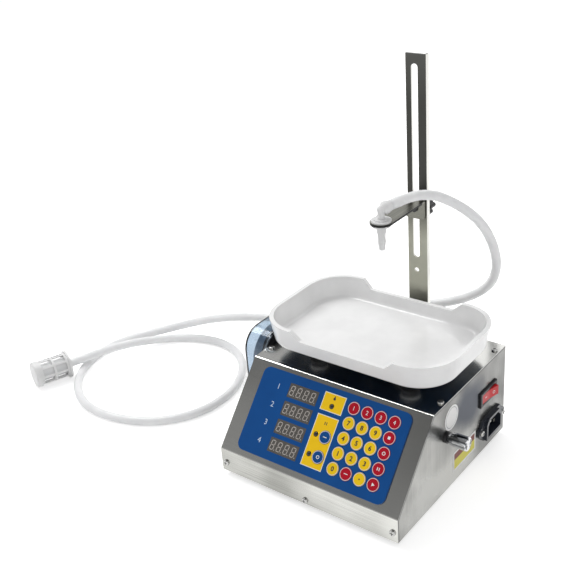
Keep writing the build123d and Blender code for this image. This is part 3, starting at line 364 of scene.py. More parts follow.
def columnSteel(name):
    # the front's shade along its height is painted reflection, from a dark mirror of the room at its top
    # to pale green lower down, and the folded edge on the right, which looks sideways, is painted pale
    # as the lit side
    made, tree, shader = newMaterial(name)
    height = rangeOf(tree, spotAxes(tree)["Z"], 0.0, 1.0, *columnTones["heights"])
    sideways = maths(tree, "GREATER_THAN", facingAxes(tree)["X"], 0.7)
    colour = mixColour(tree, sideways, ramp(tree, height, columnTones["front"]), columnTones["folded"])
    lines = steelGrain(tree, 2)
    steelFinish(tree, shader, colour, lines, columnTones["roughness"], lines, 0.12, metallic=0.75)
    return made


def panFinish(name):
    # white moulded pan, with painted shade in dark blue on the faces that look down
    made, tree, shader = newMaterial(name)
    paintedUnderShade = maths(tree, "LESS_THAN", facingAxes(tree)["Z"], -0.8)
    vector = objectCoordinates(tree)
    mottle = noise(tree, vector, skin["mottle"])
    shade = ramp(tree, mottle, [(0.35, (0.80, 0.80, 0.80)), (0.65, (0.85, 0.85, 0.85))])
    tree.links.new(mixColour(tree, paintedUnderShade, shade, (0.02, 0.05, 0.11)), shader.inputs["Base Color"])
    tree.links.new(rangeOf(tree, mottle, 0.16, 0.24), shader.inputs["Roughness"])
    bump(tree, shader, noise(tree, vector, skin["pores"], 2.0), 0.03, skin["relief"])
    setSockets(shader, {"Coat Weight": 0.3, "Coat Roughness": 0.12})
    return made


# Pump base: the black plate ends and the slate blue track wall starts at an x in millimetres
pumpTones = {
    "plate": (0.014, 0.014, 0.016),
    "wall": [(0.35, (0.13, 0.18, 0.24)), (0.65, (0.17, 0.23, 0.30))],
    "wallFrom": -98.2,
}


def pumpBody(name):
    made, tree, shader = newMaterial(name)
    wallFrom = float(place((pumpTones["wallFrom"], 0, 0))[0])
    outward = maths(tree, "LESS_THAN", spotAxes(tree)["X"], wallFrom)
    vector = objectCoordinates(tree)
    mottle = noise(tree, vector, 60.0)
    colour = mixColour(tree, outward, pumpTones["plate"], ramp(tree, mottle, pumpTones["wall"]))
    tree.links.new(colour, shader.inputs["Base Color"])
    tree.links.new(rangeOf(tree, mottle, 0.3, 0.4), shader.inputs["Roughness"])
    bump(tree, shader, noise(tree, vector, skin["pores"], 2.0), 0.05, skin["relief"])
    return made


def plastic(name, colour, roughness, extra=None):
    # moulded plastic: a faint mottle in its colour and a fine skin grain
    made, tree, shader = newMaterial(name)
    vector = objectCoordinates(tree)
    mottle = noise(tree, vector, skin["mottle"])
    shade = tuple(0.93 * part for part in colour)
    tree.links.new(ramp(tree, mottle, [(0.35, shade), (0.65, colour)]), shader.inputs["Base Color"])
    tree.links.new(rangeOf(tree, mottle, roughness - 0.04, roughness + 0.04), shader.inputs["Roughness"])
    bump(tree, shader, noise(tree, vector, skin["pores"], 2.0), 0.06, skin["relief"])
    setSockets(shader, extra or {})
    return made


def polishedMetal(name, colour, roughness):
    # bright metal with short streaks along x
    made, tree, shader = newMaterial(name)
    streaks = noise(tree, objectCoordinates(tree, scale=(60, 900, 900)), 1.0, 2.0)
    tree.links.new(rangeOf(tree, streaks, roughness, roughness + 0.08), shader.inputs["Roughness"])
    shade = tuple(0.9 * part for part in colour)
    tree.links.new(ramp(tree, streaks, [(0.3, shade), (0.7, colour)]), shader.inputs["Base Color"])
    setSockets(shader, {"Metallic": 1.0})
    return made


def clearBlue(name):
    # clear tinted plastic with a faint haze in its gloss
    made, tree, shader = newMaterial(name)
    haze = noise(tree, objectCoordinates(tree), 60.0, 2.0)
    tree.links.new(rangeOf(tree, haze, 0.03, 0.09), shader.inputs["Roughness"])
    tint = ramp(tree, haze, [(0.3, (0.58, 0.66, 0.74)), (0.7, (0.63, 0.70, 0.77))])
    tree.links.new(tint, shader.inputs["Base Color"])
    setSockets(shader, {
        "Transmission Weight": 1.0, "IOR": 1.25, "Coat Weight": 0.4, "Coat Roughness": 0.05,
    })
    return made


def milkySilicone(name):
    # soft translucent tube: pale, a little light passes through, with faint cloudy variation
    made, tree, shader = newMaterial(name)
    clouds = noise(tree, objectCoordinates(tree), 55.0)
    tint = ramp(tree, clouds, [(0.3, (0.865, 0.87, 0.88)), (0.7, (0.935, 0.938, 0.945))])
    tree.links.new(tint, shader.inputs["Base Color"])
    tree.links.new(rangeOf(tree, clouds, 0.3, 0.42), shader.inputs["Roughness"])
    setSockets(shader, {
        "Transmission Weight": 0.14, "IOR": 1.3, "Subsurface Weight": 0.25,
        "Subsurface Scale": 0.003, "Subsurface Radius": (1.0, 1.0, 1.0), "Coat Weight": 0.3,
    })
    return made


# The printed film. Each yellow field is a rectangle with a pale border: its middle across and down
# the slope, its width and its height, in millimetres.
film = {
    "blue": (0.004, 0.070, 0.262),
    "blueDeep": (0.0035, 0.061, 0.232),
    "yellow": (0.84, 0.53, 0.009),
    "border": (0.78, 0.76, 0.66),
    "borderWidth": 0.6,
    "fields": [(2.0, 17.35, 22.0, 16.1), (2.0, 52.0, 21.6, 46.0)],
}


def printedFilm(name):
    # across is the point's x from the slope's middle, down its run along the slope from the top edge
    made, tree, shader = newMaterial(name)
    spot = spotAxes(tree)
    start = place(slopeTop)
    across = maths(tree, "MULTIPLY_ADD", spot["X"], 1000.0, -1000.0 * start[0])
    byY = maths(tree, "MULTIPLY", spot["Y"], 1000.0 * slopeDown[1])
    byZ = maths(tree, "MULTIPLY_ADD", spot["Z"], 1000.0 * slopeDown[2], byY)
    down = maths(tree, "SUBTRACT", byZ, 1000.0 * float(start @ slopeDown))
    mottle = noise(tree, objectCoordinates(tree), 30.0, 2.0)
    colour = ramp(tree, mottle, [(0.3, film["blueDeep"]), (0.7, film["blue"])])
    for centreX, centreDown, width, height in film["fields"]:
        # distance outside the field's rectangle: the larger of the two overshoots
        over = []
        for way, centre, size in ((across, centreX, width), (down, centreDown, height)):
            away = maths(tree, "ABSOLUTE", maths(tree, "SUBTRACT", way, centre))
            over.append(maths(tree, "SUBTRACT", away, size / 2))
        outside = maths(tree, "MAXIMUM", *over)
        colour = mixColour(tree, maths(tree, "LESS_THAN", outside, 0.0), colour, film["border"])
        inner = maths(tree, "LESS_THAN", outside, -film["borderWidth"])
        colour = mixColour(tree, inner, colour, film["yellow"])
    tree.links.new(colour, shader.inputs["Base Color"])
    tree.links.new(rangeOf(tree, mottle, 0.3, 0.4), shader.inputs["Roughness"])
    bump(tree, shader, noise(tree, objectCoordinates(tree), 2500.0, 1.0), 0.05, 0.00003)
    setSockets(shader, {"Specular IOR Level": 0.16})
    return made


def boardAndLamps(name):
    # green board below the panel, dark lamp lenses where it stands above the panel's face
    made, tree, shader = newMaterial(name)
    source = tree.nodes.new("ShaderNodeTexCoord").outputs["Object"]
    away = tree.nodes.new("ShaderNodeVectorMath")
    away.operation = "DOT_PRODUCT"
    away.inputs[1].default_value = slopeOff
    tree.links.new(source, away.inputs[0])
    face = float(place(slopeTop) @ slopeOff)
    lens = maths(tree, "GREATER_THAN", away.outputs["Value"], face)
    mottle = noise(tree, objectCoordinates(tree), 300.0, 2.0)
    board = ramp(tree, mottle, [(0.4, (0.02, 0.13, 0.06)), (0.6, (0.03, 0.19, 0.08))])
    tree.links.new(mixColour(tree, lens, board, (0.012, 0.012, 0.010)), shader.inputs["Base Color"])
    setSockets(shader, {"Roughness": 0.25, "Coat Weight": 0.4})
    return made


steelPanel = coverSteel("steelPanel")
steelRear = brushedSteel("steelRear", (0.44, 0.44, 0.43), (0.56, 0.56, 0.54), 0.30, 0)
steelSide = sideSteel("steelSide")
steelColumn = columnSteel("steelColumn")
steelArm = armSteel("steelArm")
blackPlastic = plastic("blackPlastic", (0.014, 0.014, 0.016), 0.38)
whitePlastic = plastic("whitePlastic", (0.80, 0.80, 0.80), 0.32, extra={"Coat Weight": 0.15})
fittingWhite = plastic("fittingWhite", (0.90, 0.90, 0.90), 0.42, extra={
    "Transmission Weight": 0.2, "Subsurface Weight": 0.2, "Subsurface Scale": 0.002,
    "Subsurface Radius": (1.0, 1.0, 1.0),
})
panWhite = panFinish("panWhite")
pumpSlate = pumpBody("pumpSlate")
silicone = milkySilicone("silicone")
coverBlue = clearBlue("coverBlue")
filmPrint = printedFilm("filmPrint")
keyYellow = plastic("keyYellow", (0.85, 0.56, 0.008), 0.35, extra={"Specular IOR Level": 0.2})
keyRed = plastic("keyRed", (0.43, 0.004, 0.018), 0.35, extra={"Specular IOR Level": 0.18})
keyBlue = plastic("keyBlue", (0.003, 0.063, 0.240), 0.35, extra={"Specular IOR Level": 0.18})
windowGrey = plastic("windowGrey", (0.085, 0.078, 0.072), 0.25)
segmentGrey = plastic("segmentGrey", (0.42, 0.39, 0.36), 0.5)
markWhite = plastic("markWhite", (0.80, 0.80, 0.80), 0.5)
markBlack = plastic("markBlack", (0.02, 0.02, 0.02), 0.5)
markPale = plastic("markPale", (0.55, 0.66, 0.80), 0.5)
ringPale = plastic("ringPale", (0.74, 0.66, 0.66), 0.5)
chrome = streakedChrome("chrome")
screwBright = polishedMetal("screwBright", (0.50, 0.50, 0.49), 0.2)
pinMetal = polishedMetal("pinMetal", (0.72, 0.70, 0.62), 0.2)
cellAluminium = brushedSteel("cellAluminium", (0.62, 0.62, 0.63), (0.74, 0.74, 0.75), 0.35, 0)
motorPaint = plastic("motorPaint", (0.10, 0.10, 0.11), 0.4)
inletBlack = plastic("inletBlack", (0.018, 0.022, 0.032), 0.28, extra={"Coat Weight": 0.3})
rotorGrey = plastic("rotorGrey", (0.035, 0.04, 0.045), 0.4)
rockerRed = plastic("rockerRed", (0.50, 0.006, 0.012), 0.34, extra={
    "Coat Weight": 0.15, "Specular IOR Level": 0.3, "Emission Color": (0.9, 0.02, 0.02, 1.0),
    "Emission Strength": 0.05,
})
screenWire = plastic("screenWire", (0.74, 0.745, 0.75), 0.4, extra={"Metallic": 0.2})
boardGreen = boardAndLamps("boardGreen")
labelYellow = plastic("labelYellow", (0.72, 0.66, 0.10), 0.5)
labelMaroon = plastic("labelMaroon", (0.20, 0.05, 0.04), 0.5)
labelWhite = plastic("labelWhite", (0.86, 0.86, 0.85), 0.5)
lineGrey = plastic("lineGrey", (0.30, 0.31, 0.33), 0.6)

finishes = {
    "main_cover": steelPanel, "base_tray": steelSide, "rear_panel": steelRear,
    "panel_screws": screwBright, "rubber_feet": blackPlastic, "keypad_overlay": filmPrint,
    "display_windows": windowGrey, "control_board": boardGreen, "load_cell": cellAluminium,
    "load_cell_mount": cellAluminium, "pan_support": motorPaint, "pan_pads": blackPlastic,
    "weighing_pan": panWhite, "pump_motor": motorPaint, "pump_base": pumpSlate,
    "pump_cover": coverBlue, "pump_rotor": rotorGrey, "pump_roller_1": whitePlastic,
    "pump_roller_2": whitePlastic, "pump_roller_3": whitePlastic, "pump_tube": silicone,
    "column": steelColumn, "arm_bracket": steelArm, "clamp_knob": blackPlastic,
    "nozzle_elbow": fittingWhite, "nozzle_spout": fittingWhite, "switch_bezel": blackPlastic,
    "switch_rocker": rockerRed, "inlet_socket": inletBlack, "inlet_pins": pinMetal,
    "speed_knob": chrome, "speed_control": blackPlastic, "power_supply": cellAluminium,
    "strainer_cage": fittingWhite, "strainer_cap": fittingWhite, "strainer_screen": screenWire,
    "manual_key": keyBlue, "auto_key": keyBlue,
}
for name, node in nodes.items():
    finish = finishes.get(name)
    if name.startswith(("digit_key", "point_key")):
        finish = keyYellow
    elif name.startswith(("memory_key", "function_key")):
        finish = keyRed
    if finish is not None:
        node.data.materials.clear()
        node.data.materials.append(finish)
    elif name not in ("inlet_tube", "outlet_tube"):
        print("no finish for", name)
print("finishes set")


# Meshes from arrays

def newMesh(name, points, faces, finish, smooth=True):
    # faces is an array where all have as many corners, otherwise a list
    mesh = bpy.data.meshes.new(name)
    mesh.from_pydata(points.tolist(), [], faces if isinstance(faces, list) else faces.tolist())
    mesh.validate()
    mesh.polygons.foreach_set("use_smooth", np.full(len(mesh.polygons), smooth))
    mesh.materials.append(finish)
    piece = bpy.data.objects.new(name, mesh)
    bpy.context.scene.collection.objects.link(piece)
    return piece


def gridFaces(rows, columns, closed):
    # quads between neighbouring grid points; closed joins the last column to the first
    steps = columns if closed else columns - 1
    row, column = np.meshgrid(np.arange(rows - 1), np.arange(steps), indexing="ij")
    following = (column + 1) % columns
    corners = (
        row * columns + column, row * columns + following,
        (row + 1) * columns + following, (row + 1) * columns + column,
    )
    return np.stack([c.ravel() for c in corners], axis=1)


# Tubes: millimetres, each route from its exit to its far end
inletTube = {
    "diameter": 9.0,
    "route": [
        (-105.5, 139.5, 52.5), (-105.5, 155.5, 52.5), (-113.0, 175.0, 51.8), (-130.0, 190.0, 51.4),
        (-157.0, 193.0, 50.2), (-187.0, 187.5, 47.6), (-221.0, 183.5, 41.0), (-262.0, 178.5, 29.4),
        (-297.0, 169.0, 16.6), (-322.0, 156.0, 8.4), (-339.0, 140.0, 5.4), (-349.0, 118.0, 4.8),
        (-352.0, 93.0, 4.8), (-348.0, 68.0, 4.8), (-337.0, 45.0, 4.8), (-319.0, 24.5, 4.8),
        (-295.0, 9.0, 4.8), (-267.0, 2.5, 4.8), (-237.0, 5.5, 4.8), (-209.0, 16.0, 4.8),
        (-186.0, 35.0, 4.8), (-172.0, 60.0, 4.8), (-168.0, 88.0, 4.8), (-173.0, 117.0, 4.8),
        (-188.0, 145.0, 4.8), (-211.0, 166.0, 4.8), (-239.0, 176.0, 4.8), (-268.0, 173.0, 4.8),
        (-295.0, 160.0, 5.2), (-315.0, 140.5, 6.2), (-327.5, 116.0, 10.4), (-334.6, 90.0, 14.3),
        (-340.9, 64.3, 15.3), (-349.8, 42.0, 15.3),
    ],
}
outletTube = {
    "diameter": 9.0,
    "route": [
        (5.138, 139.403, 230.645), (12.261, 160.091, 232.945), (21.0, 183.4, 228.06),
        (31.5, 195.2, 219.93), (42.5, 207.4, 208.02), (51.0, 219.0, 193.03), (55.5, 229.5, 174.54),
        (57.0, 238.5, 153.95), (54.0, 246.0, 134.05), (45.0, 252.0, 115.0), (28.0, 253.0, 99.03),
        (5.5, 250.5, 87.54), (-18.0, 244.5, 80.95), (-43.0, 236.2, 79.97), (-68.0, 226.2, 81.51),
        (-89.0, 213.0, 84.04), (-102.0, 195.5, 86.98), (-106.0, 174.5, 89.5), (-105.5, 154.5, 89.5),
        (-105.5, 139.5, 89.5),
    ],
    "around": 24,
    "swell": {"at": 8.0, "rise": 0.5, "spread": 3.0},
}


def routeCurve(name, route, bevel):
    curve = bpy.data.curves.new(name, "CURVE")
    curve.dimensions = "3D"
    line = curve.splines.new("NURBS")
    points = place(route)
    line.points.add(len(points) - 1)
    line.points.foreach_set("co", np.column_stack([points, np.ones(len(points))]).ravel())
    line.order_u = 3
    line.use_endpoint_u = True
    line.resolution_u = 8
    curve.bevel_depth = bevel
    curve.bevel_resolution = 6
    curve.use_fill_caps = True
    piece = bpy.data.objects.new(name, curve)
    bpy.context.scene.collection.objects.link(piece)
    return piece


def centreLine(route):
    # the points of the route's own smooth line, read from the curve
    guide = routeCurve("guide", route, 0.0)
    bpy.context.view_layer.update()
    mesh = bpy.data.meshes.new_from_object(guide.evaluated_get(bpy.context.evaluated_depsgraph_get()))
    line = np.zeros(len(mesh.vertices) * 3)
    mesh.vertices.foreach_get("co", line)
    bpy.data.objects.remove(guide)
    bpy.data.meshes.remove(mesh)
    return line.reshape(-1, 3)


def lineLength(line):
    return float(np.linalg.norm(np.diff(line, axis=0), axis=1).sum())


def swollen(line, radius, swell):
    # the tube's radius along its line, in metres, with a soft bell where it is pushed over a barb:
    # radius + rise times e to the minus square of (run - at) / spread
    run = 1000.0 * np.concatenate([[0.0], np.cumsum(np.linalg.norm(np.diff(line, axis=0), axis=1))])
    return radius + swell["rise"] / 1000.0 * np.exp(-((run - swell["at"]) / swell["spread"]) ** 2)


def tubeAlong(name, line, radius, around, reference, finish):
    # circles of the tube's radius, square to the line; each circle starts towards the reference
    radius = np.broadcast_to(radius, len(line))[:, None, None]
    tangent = np.gradient(line, axis=0)
    tangent /= np.linalg.norm(tangent, axis=1)[:, None]
    side = np.cross(tangent, reference)
    side /= np.linalg.norm(side, axis=1)[:, None]
    other = np.cross(tangent, side)
    angle = np.linspace(0, 2 * np.pi, around, endpoint=False)
    ring = np.cos(angle)[None, :, None] * side[:, None] + np.sin(angle)[None, :, None] * other[:, None]
    points = (line[:, None] + radius * ring).reshape(-1, 3)
    points = np.concatenate([points, line[[0, -1]]])
    faces = gridFaces(len(line), around, True)
    count = len(line) * around
    first = np.arange(around)
    last = count - around + first
    startCap = np.stack([np.full(around, count), np.roll(first, -1), first], axis=1)
    endCap = np.stack([np.full(around, count + 1), last, np.roll(last, -1)], axis=1)
    return newMesh(name, points, faces.tolist() + startCap.tolist() + endCap.tolist(), finish)


def makeTubes():
    route = inletTube["route"]
    radius = inletTube["diameter"] / 2000.0
    hose = routeCurve("suction_hose", route, radius)
    hose.data.materials.append(silicone)
    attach(hose, "case")
    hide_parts("inlet_tube")
    lineLength(centreLine(route))

    route = outletTube["route"]
    line = centreLine(route)
    girth = swollen(line, radius, outletTube["swell"])
    hose = tubeAlong("delivery_hose", line, girth, outletTube["around"], (0.7, -0.7, 0.05), silicone)
    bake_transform(hose)
    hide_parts("outlet_tube")


makeTubes()
print("tubes made")


# Seven-part digits in the display windows, each with its point
displays = {
    "count": 4, "x": -29.6, "firstDown": 18.7, "pitch": 16.6, "surface": 1.4,
    "digits": 4, "digitPitch": 7.3, "shift": -0.5, "width": 3.7, "height": 8.2, "stroke": 0.75,
    "slant": 0.12, "lift": 0.03, "pointGap": 1.5, "pointSize": 1.1,
}


def makeDigits():
    d = displays
    w, h, s = d["width"] / 2, d["height"] / 2, d["stroke"] / 2
    # each bar: centre and half sizes on the digit, before the slant
    bars = np.array([
        (0, h, w - s, s), (0, 0, w - s, s), (0, -h, w - s, s),
        (-w, h / 2, s, h / 2 - s), (w, h / 2, s, h / 2 - s),
        (-w, -h / 2, s, h / 2 - s), (w, -h / 2, s, h / 2 - s),
        (w + d["pointGap"], -h, s * d["pointSize"], s * d["pointSize"]),
    ])
    corner = np.array([(-1, -1), (1, -1), (1, 1), (-1, 1)])
    local = bars[:, None, :2] + corner[None] * bars[:, None, 2:]
    side, up = local[..., 0], local[..., 1]
    column = (np.arange(d["digits"]) - (d["digits"] - 1) / 2) * d["digitPitch"] + d["shift"]
    row = d["firstDown"] + np.arange(d["count"]) * d["pitch"]
    # a corner leans to the right by the slant times its height
    across = d["x"] + column[:, None, None] + side + up * d["slant"]
    down = row[:, None, None, None] - up
    across, down = np.broadcast_arrays(across, down)
    points = place(onSlope(across, down, d["surface"] + d["lift"]).reshape(-1, 3))
    faces = np.arange(len(points)).reshape(-1, 4)
    digits = newMesh("display_segments", points, faces, segmentGrey, smooth=False)
    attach(digits, "case")


makeDigits()
print("displays made")

# Keys, their pale rings and their marks
keypad = {
    "firstX": 22.6, "firstDown": 15.6, "pitch": 13.3, "filmTop": 1.4, "keyTop": 1.75,
    "ringInner": 5.0, "ringOuter": 5.5, "lift": 0.03,
    "modeX": 5.6, "manualDown": 46.7, "autoDown": 64.3,
    "names": [
        ["memory_key_1", "memory_key_2", "memory_key_3", "memory_key_4"],
        ["digit_key_7", "digit_key_8", "digit_key_9", "function_key_1"],
        ["digit_key_4", "digit_key_5", "digit_key_6", "function_key_2"],
        ["digit_key_1", "digit_key_2", "digit_key_3", "function_key_3"],
        ["digit_key_0", "function_key_4", "point_key", "function_key_5"],
    ],
}
keyPlace = {
    name: (keypad["firstX"] + c * keypad["pitch"], keypad["firstDown"] + r * keypad["pitch"])
    for r, row in enumerate(keypad["names"]) for c, name in enumerate(row)
}
keyPlace["manual_key"] = (keypad["modeX"], keypad["manualDown"])
keyPlace["auto_key"] = (keypad["modeX"], keypad["autoDown"])


def ringOn(across, down, off, inner, outer, around=48):
    # a flat ring on the slope: angle by radius
    angle = np.linspace(0, 2 * np.pi, around, endpoint=False)
    radius = np.array([inner, outer])[:, None]
    points = onSlope(across + radius * np.cos(angle), down - radius * np.sin(angle), off)
    return points.reshape(-1, 3), gridFaces(2, around, True)


def makeRings():
    off = keypad["keyTop"] + keypad["lift"]
    for name, (across, down) in keyPlace.items():
        points, faces = ringOn(across, down, off, keypad["ringInner"], keypad["ringOuter"])
        ring = newMesh(name + "_ring", place(points), faces, ringPale, smooth=False)
        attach(ring, name)


makeRings()


def textPoints(words, size, weight=0.0):
    # a word as flat triangles, centred on its own middle; it is text only while it is made
    letters = bpy.data.curves.new("letters", "FONT")
    letters.body = words
    letters.size = size
    letters.align_x = "CENTER"
    letters.resolution_u = 3
    letters.offset = weight * size
    holder = bpy.data.objects.new("letters", letters)
    bpy.context.scene.collection.objects.link(holder)
    bpy.context.view_layer.update()
    mesh = bpy.data.meshes.new_from_object(holder.evaluated_get(bpy.context.evaluated_depsgraph_get()))
    points = np.zeros(len(mesh.vertices) * 3)
    mesh.vertices.foreach_get("co", points)
    points = points.reshape(-1, 3)[:, :2]
    faces = [tuple(p.vertices) for p in mesh.polygons]
    bpy.data.objects.remove(holder)
    bpy.data.meshes.remove(mesh)
    return points - (points.min(0) + points.max(0)) / 2, faces


def shapePoints(kind):
    # plain marks: bar, two bars, triangle, square, ring, drop, each about 3 mm wide
    if kind == "bar":
        corners = [(-1.8, -0.35), (1.8, -0.35), (1.8, 0.35), (-1.8, 0.35)]
        return np.array(corners), [(0, 1, 2, 3)]
    if kind == "square":
        return np.array([(-1.2, -1.2), (1.2, -1.2), (1.2, 1.2), (-1.2, 1.2)]), [(0, 1, 2, 3)]
    if kind == "triangle":
        return np.array([(-1.1, -1.5), (1.7, 0.0), (-1.1, 1.5)]), [(0, 1, 2)]
    if kind == "bars":
        pair = [(-1.3, -1.3), (-0.5, -1.3), (-0.5, 1.3), (-1.3, 1.3)]
        return np.array(pair + [(x + 1.8, y) for x, y in pair]), [(0, 1, 2, 3), (4, 5, 6, 7)]
    angle = np.linspace(0, 2 * np.pi, 32, endpoint=False)
    if kind == "drop":
        # a circle whose upper half is drawn out to a point
        above = np.clip(np.sin(angle), 0, 1)
        x = 1.3 * np.cos(angle) * (1 - 0.3 * above)
        y = (1.3 + 1.3 * above ** 6) * np.sin(angle)
        return np.column_stack([x, y]), [tuple(range(32))]
    circle = np.column_stack([np.cos(angle), np.sin(angle)])
    return np.concatenate([circle, 1.6 * circle]), gridFaces(2, 32, True).tolist()


def markOn(name, flat, across, down, off, finish):
    points, faces = flat
    spots = place(onSlope(across + points[:, 0], down - points[:, 1], off))
    return newMesh(name, spots, faces, finish, smooth=False)


marks = {
    "digitSize": 5.6,
    "digitWeight": 0.035,
    "memorySize": 5.0,
    "captionSize": 7.0,
    "captionX": -56.0,
    "functions": ["square", "ring", "bars", "bar", "triangle"],
    "fields": [("pump_mark", "drop", 2.0, 13.4), ("mode_mark", "bars", 2.0, 35.5)],
}


def makeMarks():
    off = keypad["keyTop"] + keypad["lift"]
    for name, (across, down) in keyPlace.items():
        if name.startswith("digit"):
            flat, finish = textPoints(name[-1], marks["digitSize"], marks["digitWeight"]), markBlack
        elif name == "point_key":
            flat, finish = (shapePoints("ring")[0][:32] * 0.7, [tuple(range(32))]), markBlack
        elif name.startswith("memory"):
            flat, finish = textPoints(name[-1], marks["memorySize"]), markWhite
        elif name.startswith("function"):
            flat, finish = shapePoints(marks["functions"][int(name[-1]) - 1]), markWhite
        else:
            flat, finish = shapePoints("ring" if name == "auto_key" else "bar"), markWhite
        piece = markOn(name + "_mark", flat, across, down, off, finish)
        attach(piece, name)
    off = keypad["filmTop"] + keypad["lift"]
    for index in range(displays["count"]):
        down = displays["firstDown"] + index * displays["pitch"]
        flat = textPoints(str(index + 1), marks["captionSize"])
        piece = markOn(f"display_number_{index + 1}", flat, marks["captionX"], down, off, markPale)
        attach(piece, "case")
    for name, kind, across, down in marks["fields"]:
        piece = markOn(name, shapePoints(kind), across, down, off, markBlack)
        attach(piece, "case")


makeMarks()
print("keypad made")

# Bare stickers on the right side, in millimetres
stickers = {
    "side": 92.5, "thickness": 0.12, "print": 0.02,
    "round": {"y": 88.0, "z": 75.0, "radius": 11.5, "line": (0.80, 0.84)},
    "label": {"y0": 91.0, "y1": 132.0, "z0": 16.0, "z1": 36.0, "border": 2.0, "band": 6.5},
}


def onSide(y, z, off):
    y, z = np.broadcast_arrays(np.asarray(y, float), np.asarray(z, float))
    return np.stack([np.full(y.shape, stickers["side"] + off), y, z], axis=-1)


def sidePiece(name, points, faces, finish):
    piece = newMesh(name, place(points), faces, finish, smooth=False)
    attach(piece, "case")


def sideDisc(name, y, z, inner, outer, off, finish):
    # a flat ring: angle by radius
    angle = np.linspace(0, 2 * np.pi, 64, endpoint=False)
    radius = np.array([inner, outer])[:, None]
    points = onSide(y + radius * np.cos(angle), z + radius * np.sin(angle), off).reshape(-1, 3)
    sidePiece(name, points, gridFaces(2, 64, True)[:, ::-1], finish)


def sideSheet(name, y0, y1, z0, z1, off, finish):
    points = onSide(np.array([y0, y1, y1, y0]), np.array([z0, z0, z1, z1]), off)
    sidePiece(name, points, np.array([[0, 1, 2, 3]]), finish)


def makeStickers():
    base = stickers["thickness"]
    printed = base + stickers["print"]
    r = stickers["round"]
    sideDisc("round_sticker", r["y"], r["z"], 0.01, r["radius"], base, labelWhite)
    inner, outer = (share * r["radius"] for share in r["line"])
    sideDisc("round_sticker_line", r["y"], r["z"], inner, outer, printed, lineGrey)
    b = stickers["label"]
    sideSheet("side_label", b["y0"], b["y1"], b["z0"], b["z1"], base, labelWhite)
    y0, y1 = b["y0"] + b["border"], b["y1"] - b["border"]
    z0, z1 = b["z0"] + b["border"], b["z1"] - b["border"]
    sideSheet("side_label_field", y0, y1, z0, z1 - b["band"], printed, labelYellow)
    sideSheet("side_label_band", y0, y1, z1 - b["band"], z1, printed, labelMaroon)


makeStickers()
print("stickers made")

# Dark strips of painted shade on both sides, in the seam where the cover's sheet meets the side walls: y
# and z of its edge
seams = {
    "path": [(0.0, 5.0), (0.0, 28.0), (58.5, 94.0), (188.0, 94.0)],
    "from": 1.1, "to": 1.75, "lift": 0.04,
}


def insetPath(path, inset):
    # the open path moved towards the case's inside by the inset, with its corners kept sharp:
    # at a corner the shift is the sum of both runs' normals over one plus their product
    run = np.diff(path, axis=0)
    run /= np.linalg.norm(run, axis=1)[:, None]
    normal = np.column_stack([run[:, 1], -run[:, 0]])
    before, after = normal[[0, *range(len(normal))]], normal[[*range(len(normal)), -1]]
    shift = (before + after) / (1.0 + (before * after).sum(axis=1))[:, None]
    return path + inset * shift


def makeSeams():
    path = np.array(seams["path"])
    rows = np.stack([insetPath(path, seams["from"]), insetPath(path, seams["to"])])
    # each strip is painted shade in the seam's narrow gap
    for name, side in (("right_seam_shade", 1.0), ("left_seam_shade", -1.0)):
        x = np.full(rows.shape[:2], side * (stickers["side"] + seams["lift"]))
        points = np.concatenate([x[..., None], rows], axis=-1).reshape(-1, 3)
        faces = gridFaces(2, len(path), False)
        faces = faces if side > 0 else faces[:, ::-1]
        seam = newMesh(name, place(points), faces, markBlack, smooth=False)
        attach(seam, "case")


makeSeams()
print("seams made")

# ON and OFF marks on the rocker: a bar and a ring, on its two gently sloping halves
rocker = {
    "pivot": (91.5, 154.0, 62.0), "half": 11.85, "rise": 4.4, "dip": 1.1, "turn": 9.0,
    "markAt": 5.8, "bar": (1.5, 0.3), "ring": (1.0, 1.5), "lift": 0.05,
}


def onRocker(along, up):
    # a shallow V, whose height out of the switch is rise - dip (1 - |along| / half), turned about z
    along, up = np.broadcast_arrays(np.asarray(along, float), np.asarray(up, float))
    out = rocker["rise"] - rocker["dip"] * (1 - np.abs(along) / rocker["half"]) + rocker["lift"]
    turn = math.radians(rocker["turn"])
    x = out * math.cos(turn) + along * math.sin(turn)
    y = along * math.cos(turn) - out * math.sin(turn)
    return place(np.stack([x, y, up], axis=-1) + np.array(rocker["pivot"]))


def makeRockerMarks():
    long, wide = rocker["bar"]
    along = -rocker["markAt"] + long * np.array([-1, 1, 1, -1])
    corners = onRocker(along, wide * np.array([-1, -1, 1, 1]))
    bar = newMesh("rocker_bar", corners, np.array([[0, 1, 2, 3]]), markWhite, smooth=False)
    angle = np.linspace(0, 2 * np.pi, 32, endpoint=False)
    radius = np.array(rocker["ring"])[:, None]
    circle = onRocker(rocker["markAt"] + radius * np.cos(angle), radius * np.sin(angle)).reshape(-1, 3)
    ring = newMesh("rocker_ring", circle, gridFaces(2, 32, True)[:, ::-1], markWhite, smooth=False)
    for piece in (bar, ring):
        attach(piece, "rocker")


makeRockerMarks()
print("rocker marked")


# Floor, world and lamps
studio = {
    "world": 0.56,
    "overhead": 0.26,
    "horizon": (0.42, 0.58),
    "floorHalf": 6.0,
    "floorColour": (0.90, 0.90, 0.90),
    "floorGlow": 0.5,
    # name, place and aim in millimetres, size in millimetres, watts
    "lamps": [
        ("key", (-950, 280, 1500), (0, 90, 60), 900, 15.5),
        ("fill", (1300, -700, 900), (0, 90, 60), 700, 3.0),
        ("rear", (-200, 1300, 1100), (0, 100, 80), 800, 3.0),
    ],
}


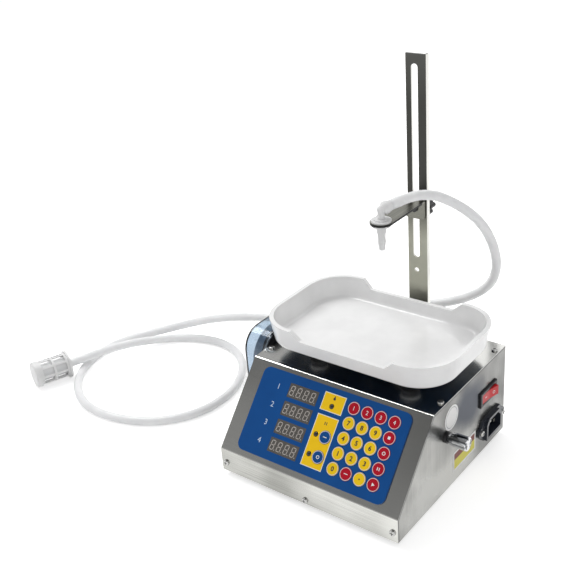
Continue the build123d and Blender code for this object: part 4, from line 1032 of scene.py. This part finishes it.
def seenDirectly(tree):
    # 1 for camera, glossy and transmission rays
    path = tree.nodes.new("ShaderNodeLightPath")
    either = maths(tree, "MAXIMUM", path.outputs["Is Camera Ray"], path.outputs["Is Transmission Ray"])
    return maths(tree, "MAXIMUM", either, path.outputs["Is Glossy Ray"])


def makeFloor():
    half = studio["floorHalf"]
    points = np.array([(-half, -half, 0), (half, -half, 0), (half, half, 0), (-half, half, 0)])
    made, tree, shader = newMaterial("floorWhite")
    tree.nodes.remove(shader)
    spread = tree.nodes.new("ShaderNodeBsdfDiffuse")
    spread.inputs["Color"].default_value = (*studio["floorColour"], 1.0)
    glow = tree.nodes.new("ShaderNodeEmission")
    strength = maths(tree, "MULTIPLY", seenDirectly(tree), studio["floorGlow"])
    tree.links.new(strength, glow.inputs["Strength"])
    both = tree.nodes.new("ShaderNodeAddShader")
    tree.links.new(spread.outputs["BSDF"], both.inputs[0])
    tree.links.new(glow.outputs["Emission"], both.inputs[1])
    tree.links.new(both.outputs["Shader"], tree.nodes["Material Output"].inputs["Surface"])
    floor = newMesh("floor", points, np.array([[0, 1, 2, 3]]), made, smooth=False)


def makeWorld():
    # camera, glossy and clear rays see one backdrop, white all round and greyer overhead;
    # what lights the machine is plain grey
    world = bpy.data.worlds.new("studio")
    bpy.context.scene.world = world
    world.use_nodes = True
    tree = world.node_tree
    ground = tree.nodes["Background"]
    upward = axesOf(tree, tree.nodes.new("ShaderNodeTexCoord").outputs["Generated"])["Z"]
    shades = (allWhite, (studio["overhead"],) * 3)
    backdrop = ramp(tree, upward, list(zip(studio["horizon"], shades)))
    colour = mixColour(tree, seenDirectly(tree), (studio["world"],) * 3, backdrop)
    tree.links.new(colour, ground.inputs["Color"])
    ground.inputs["Strength"].default_value = 1.0


def makeLamps():
    for name, spot, aim, size, power in studio["lamps"]:
        light = bpy.data.lights.new(name, "AREA")
        light.size = size / 1000.0
        light.energy = power
        lamp = bpy.data.objects.new(name, light)
        lamp.location = place(spot)
        ahead = Vector(place(aim)) - Vector(place(spot))
        lamp.rotation_euler = ahead.to_track_quat("-Z", "Y").to_euler()
        bpy.context.scene.collection.objects.link(lamp)


makeFloor()
makeWorld()
makeLamps()
bpy.context.scene.view_settings.view_transform = "Standard"
print("studio made")
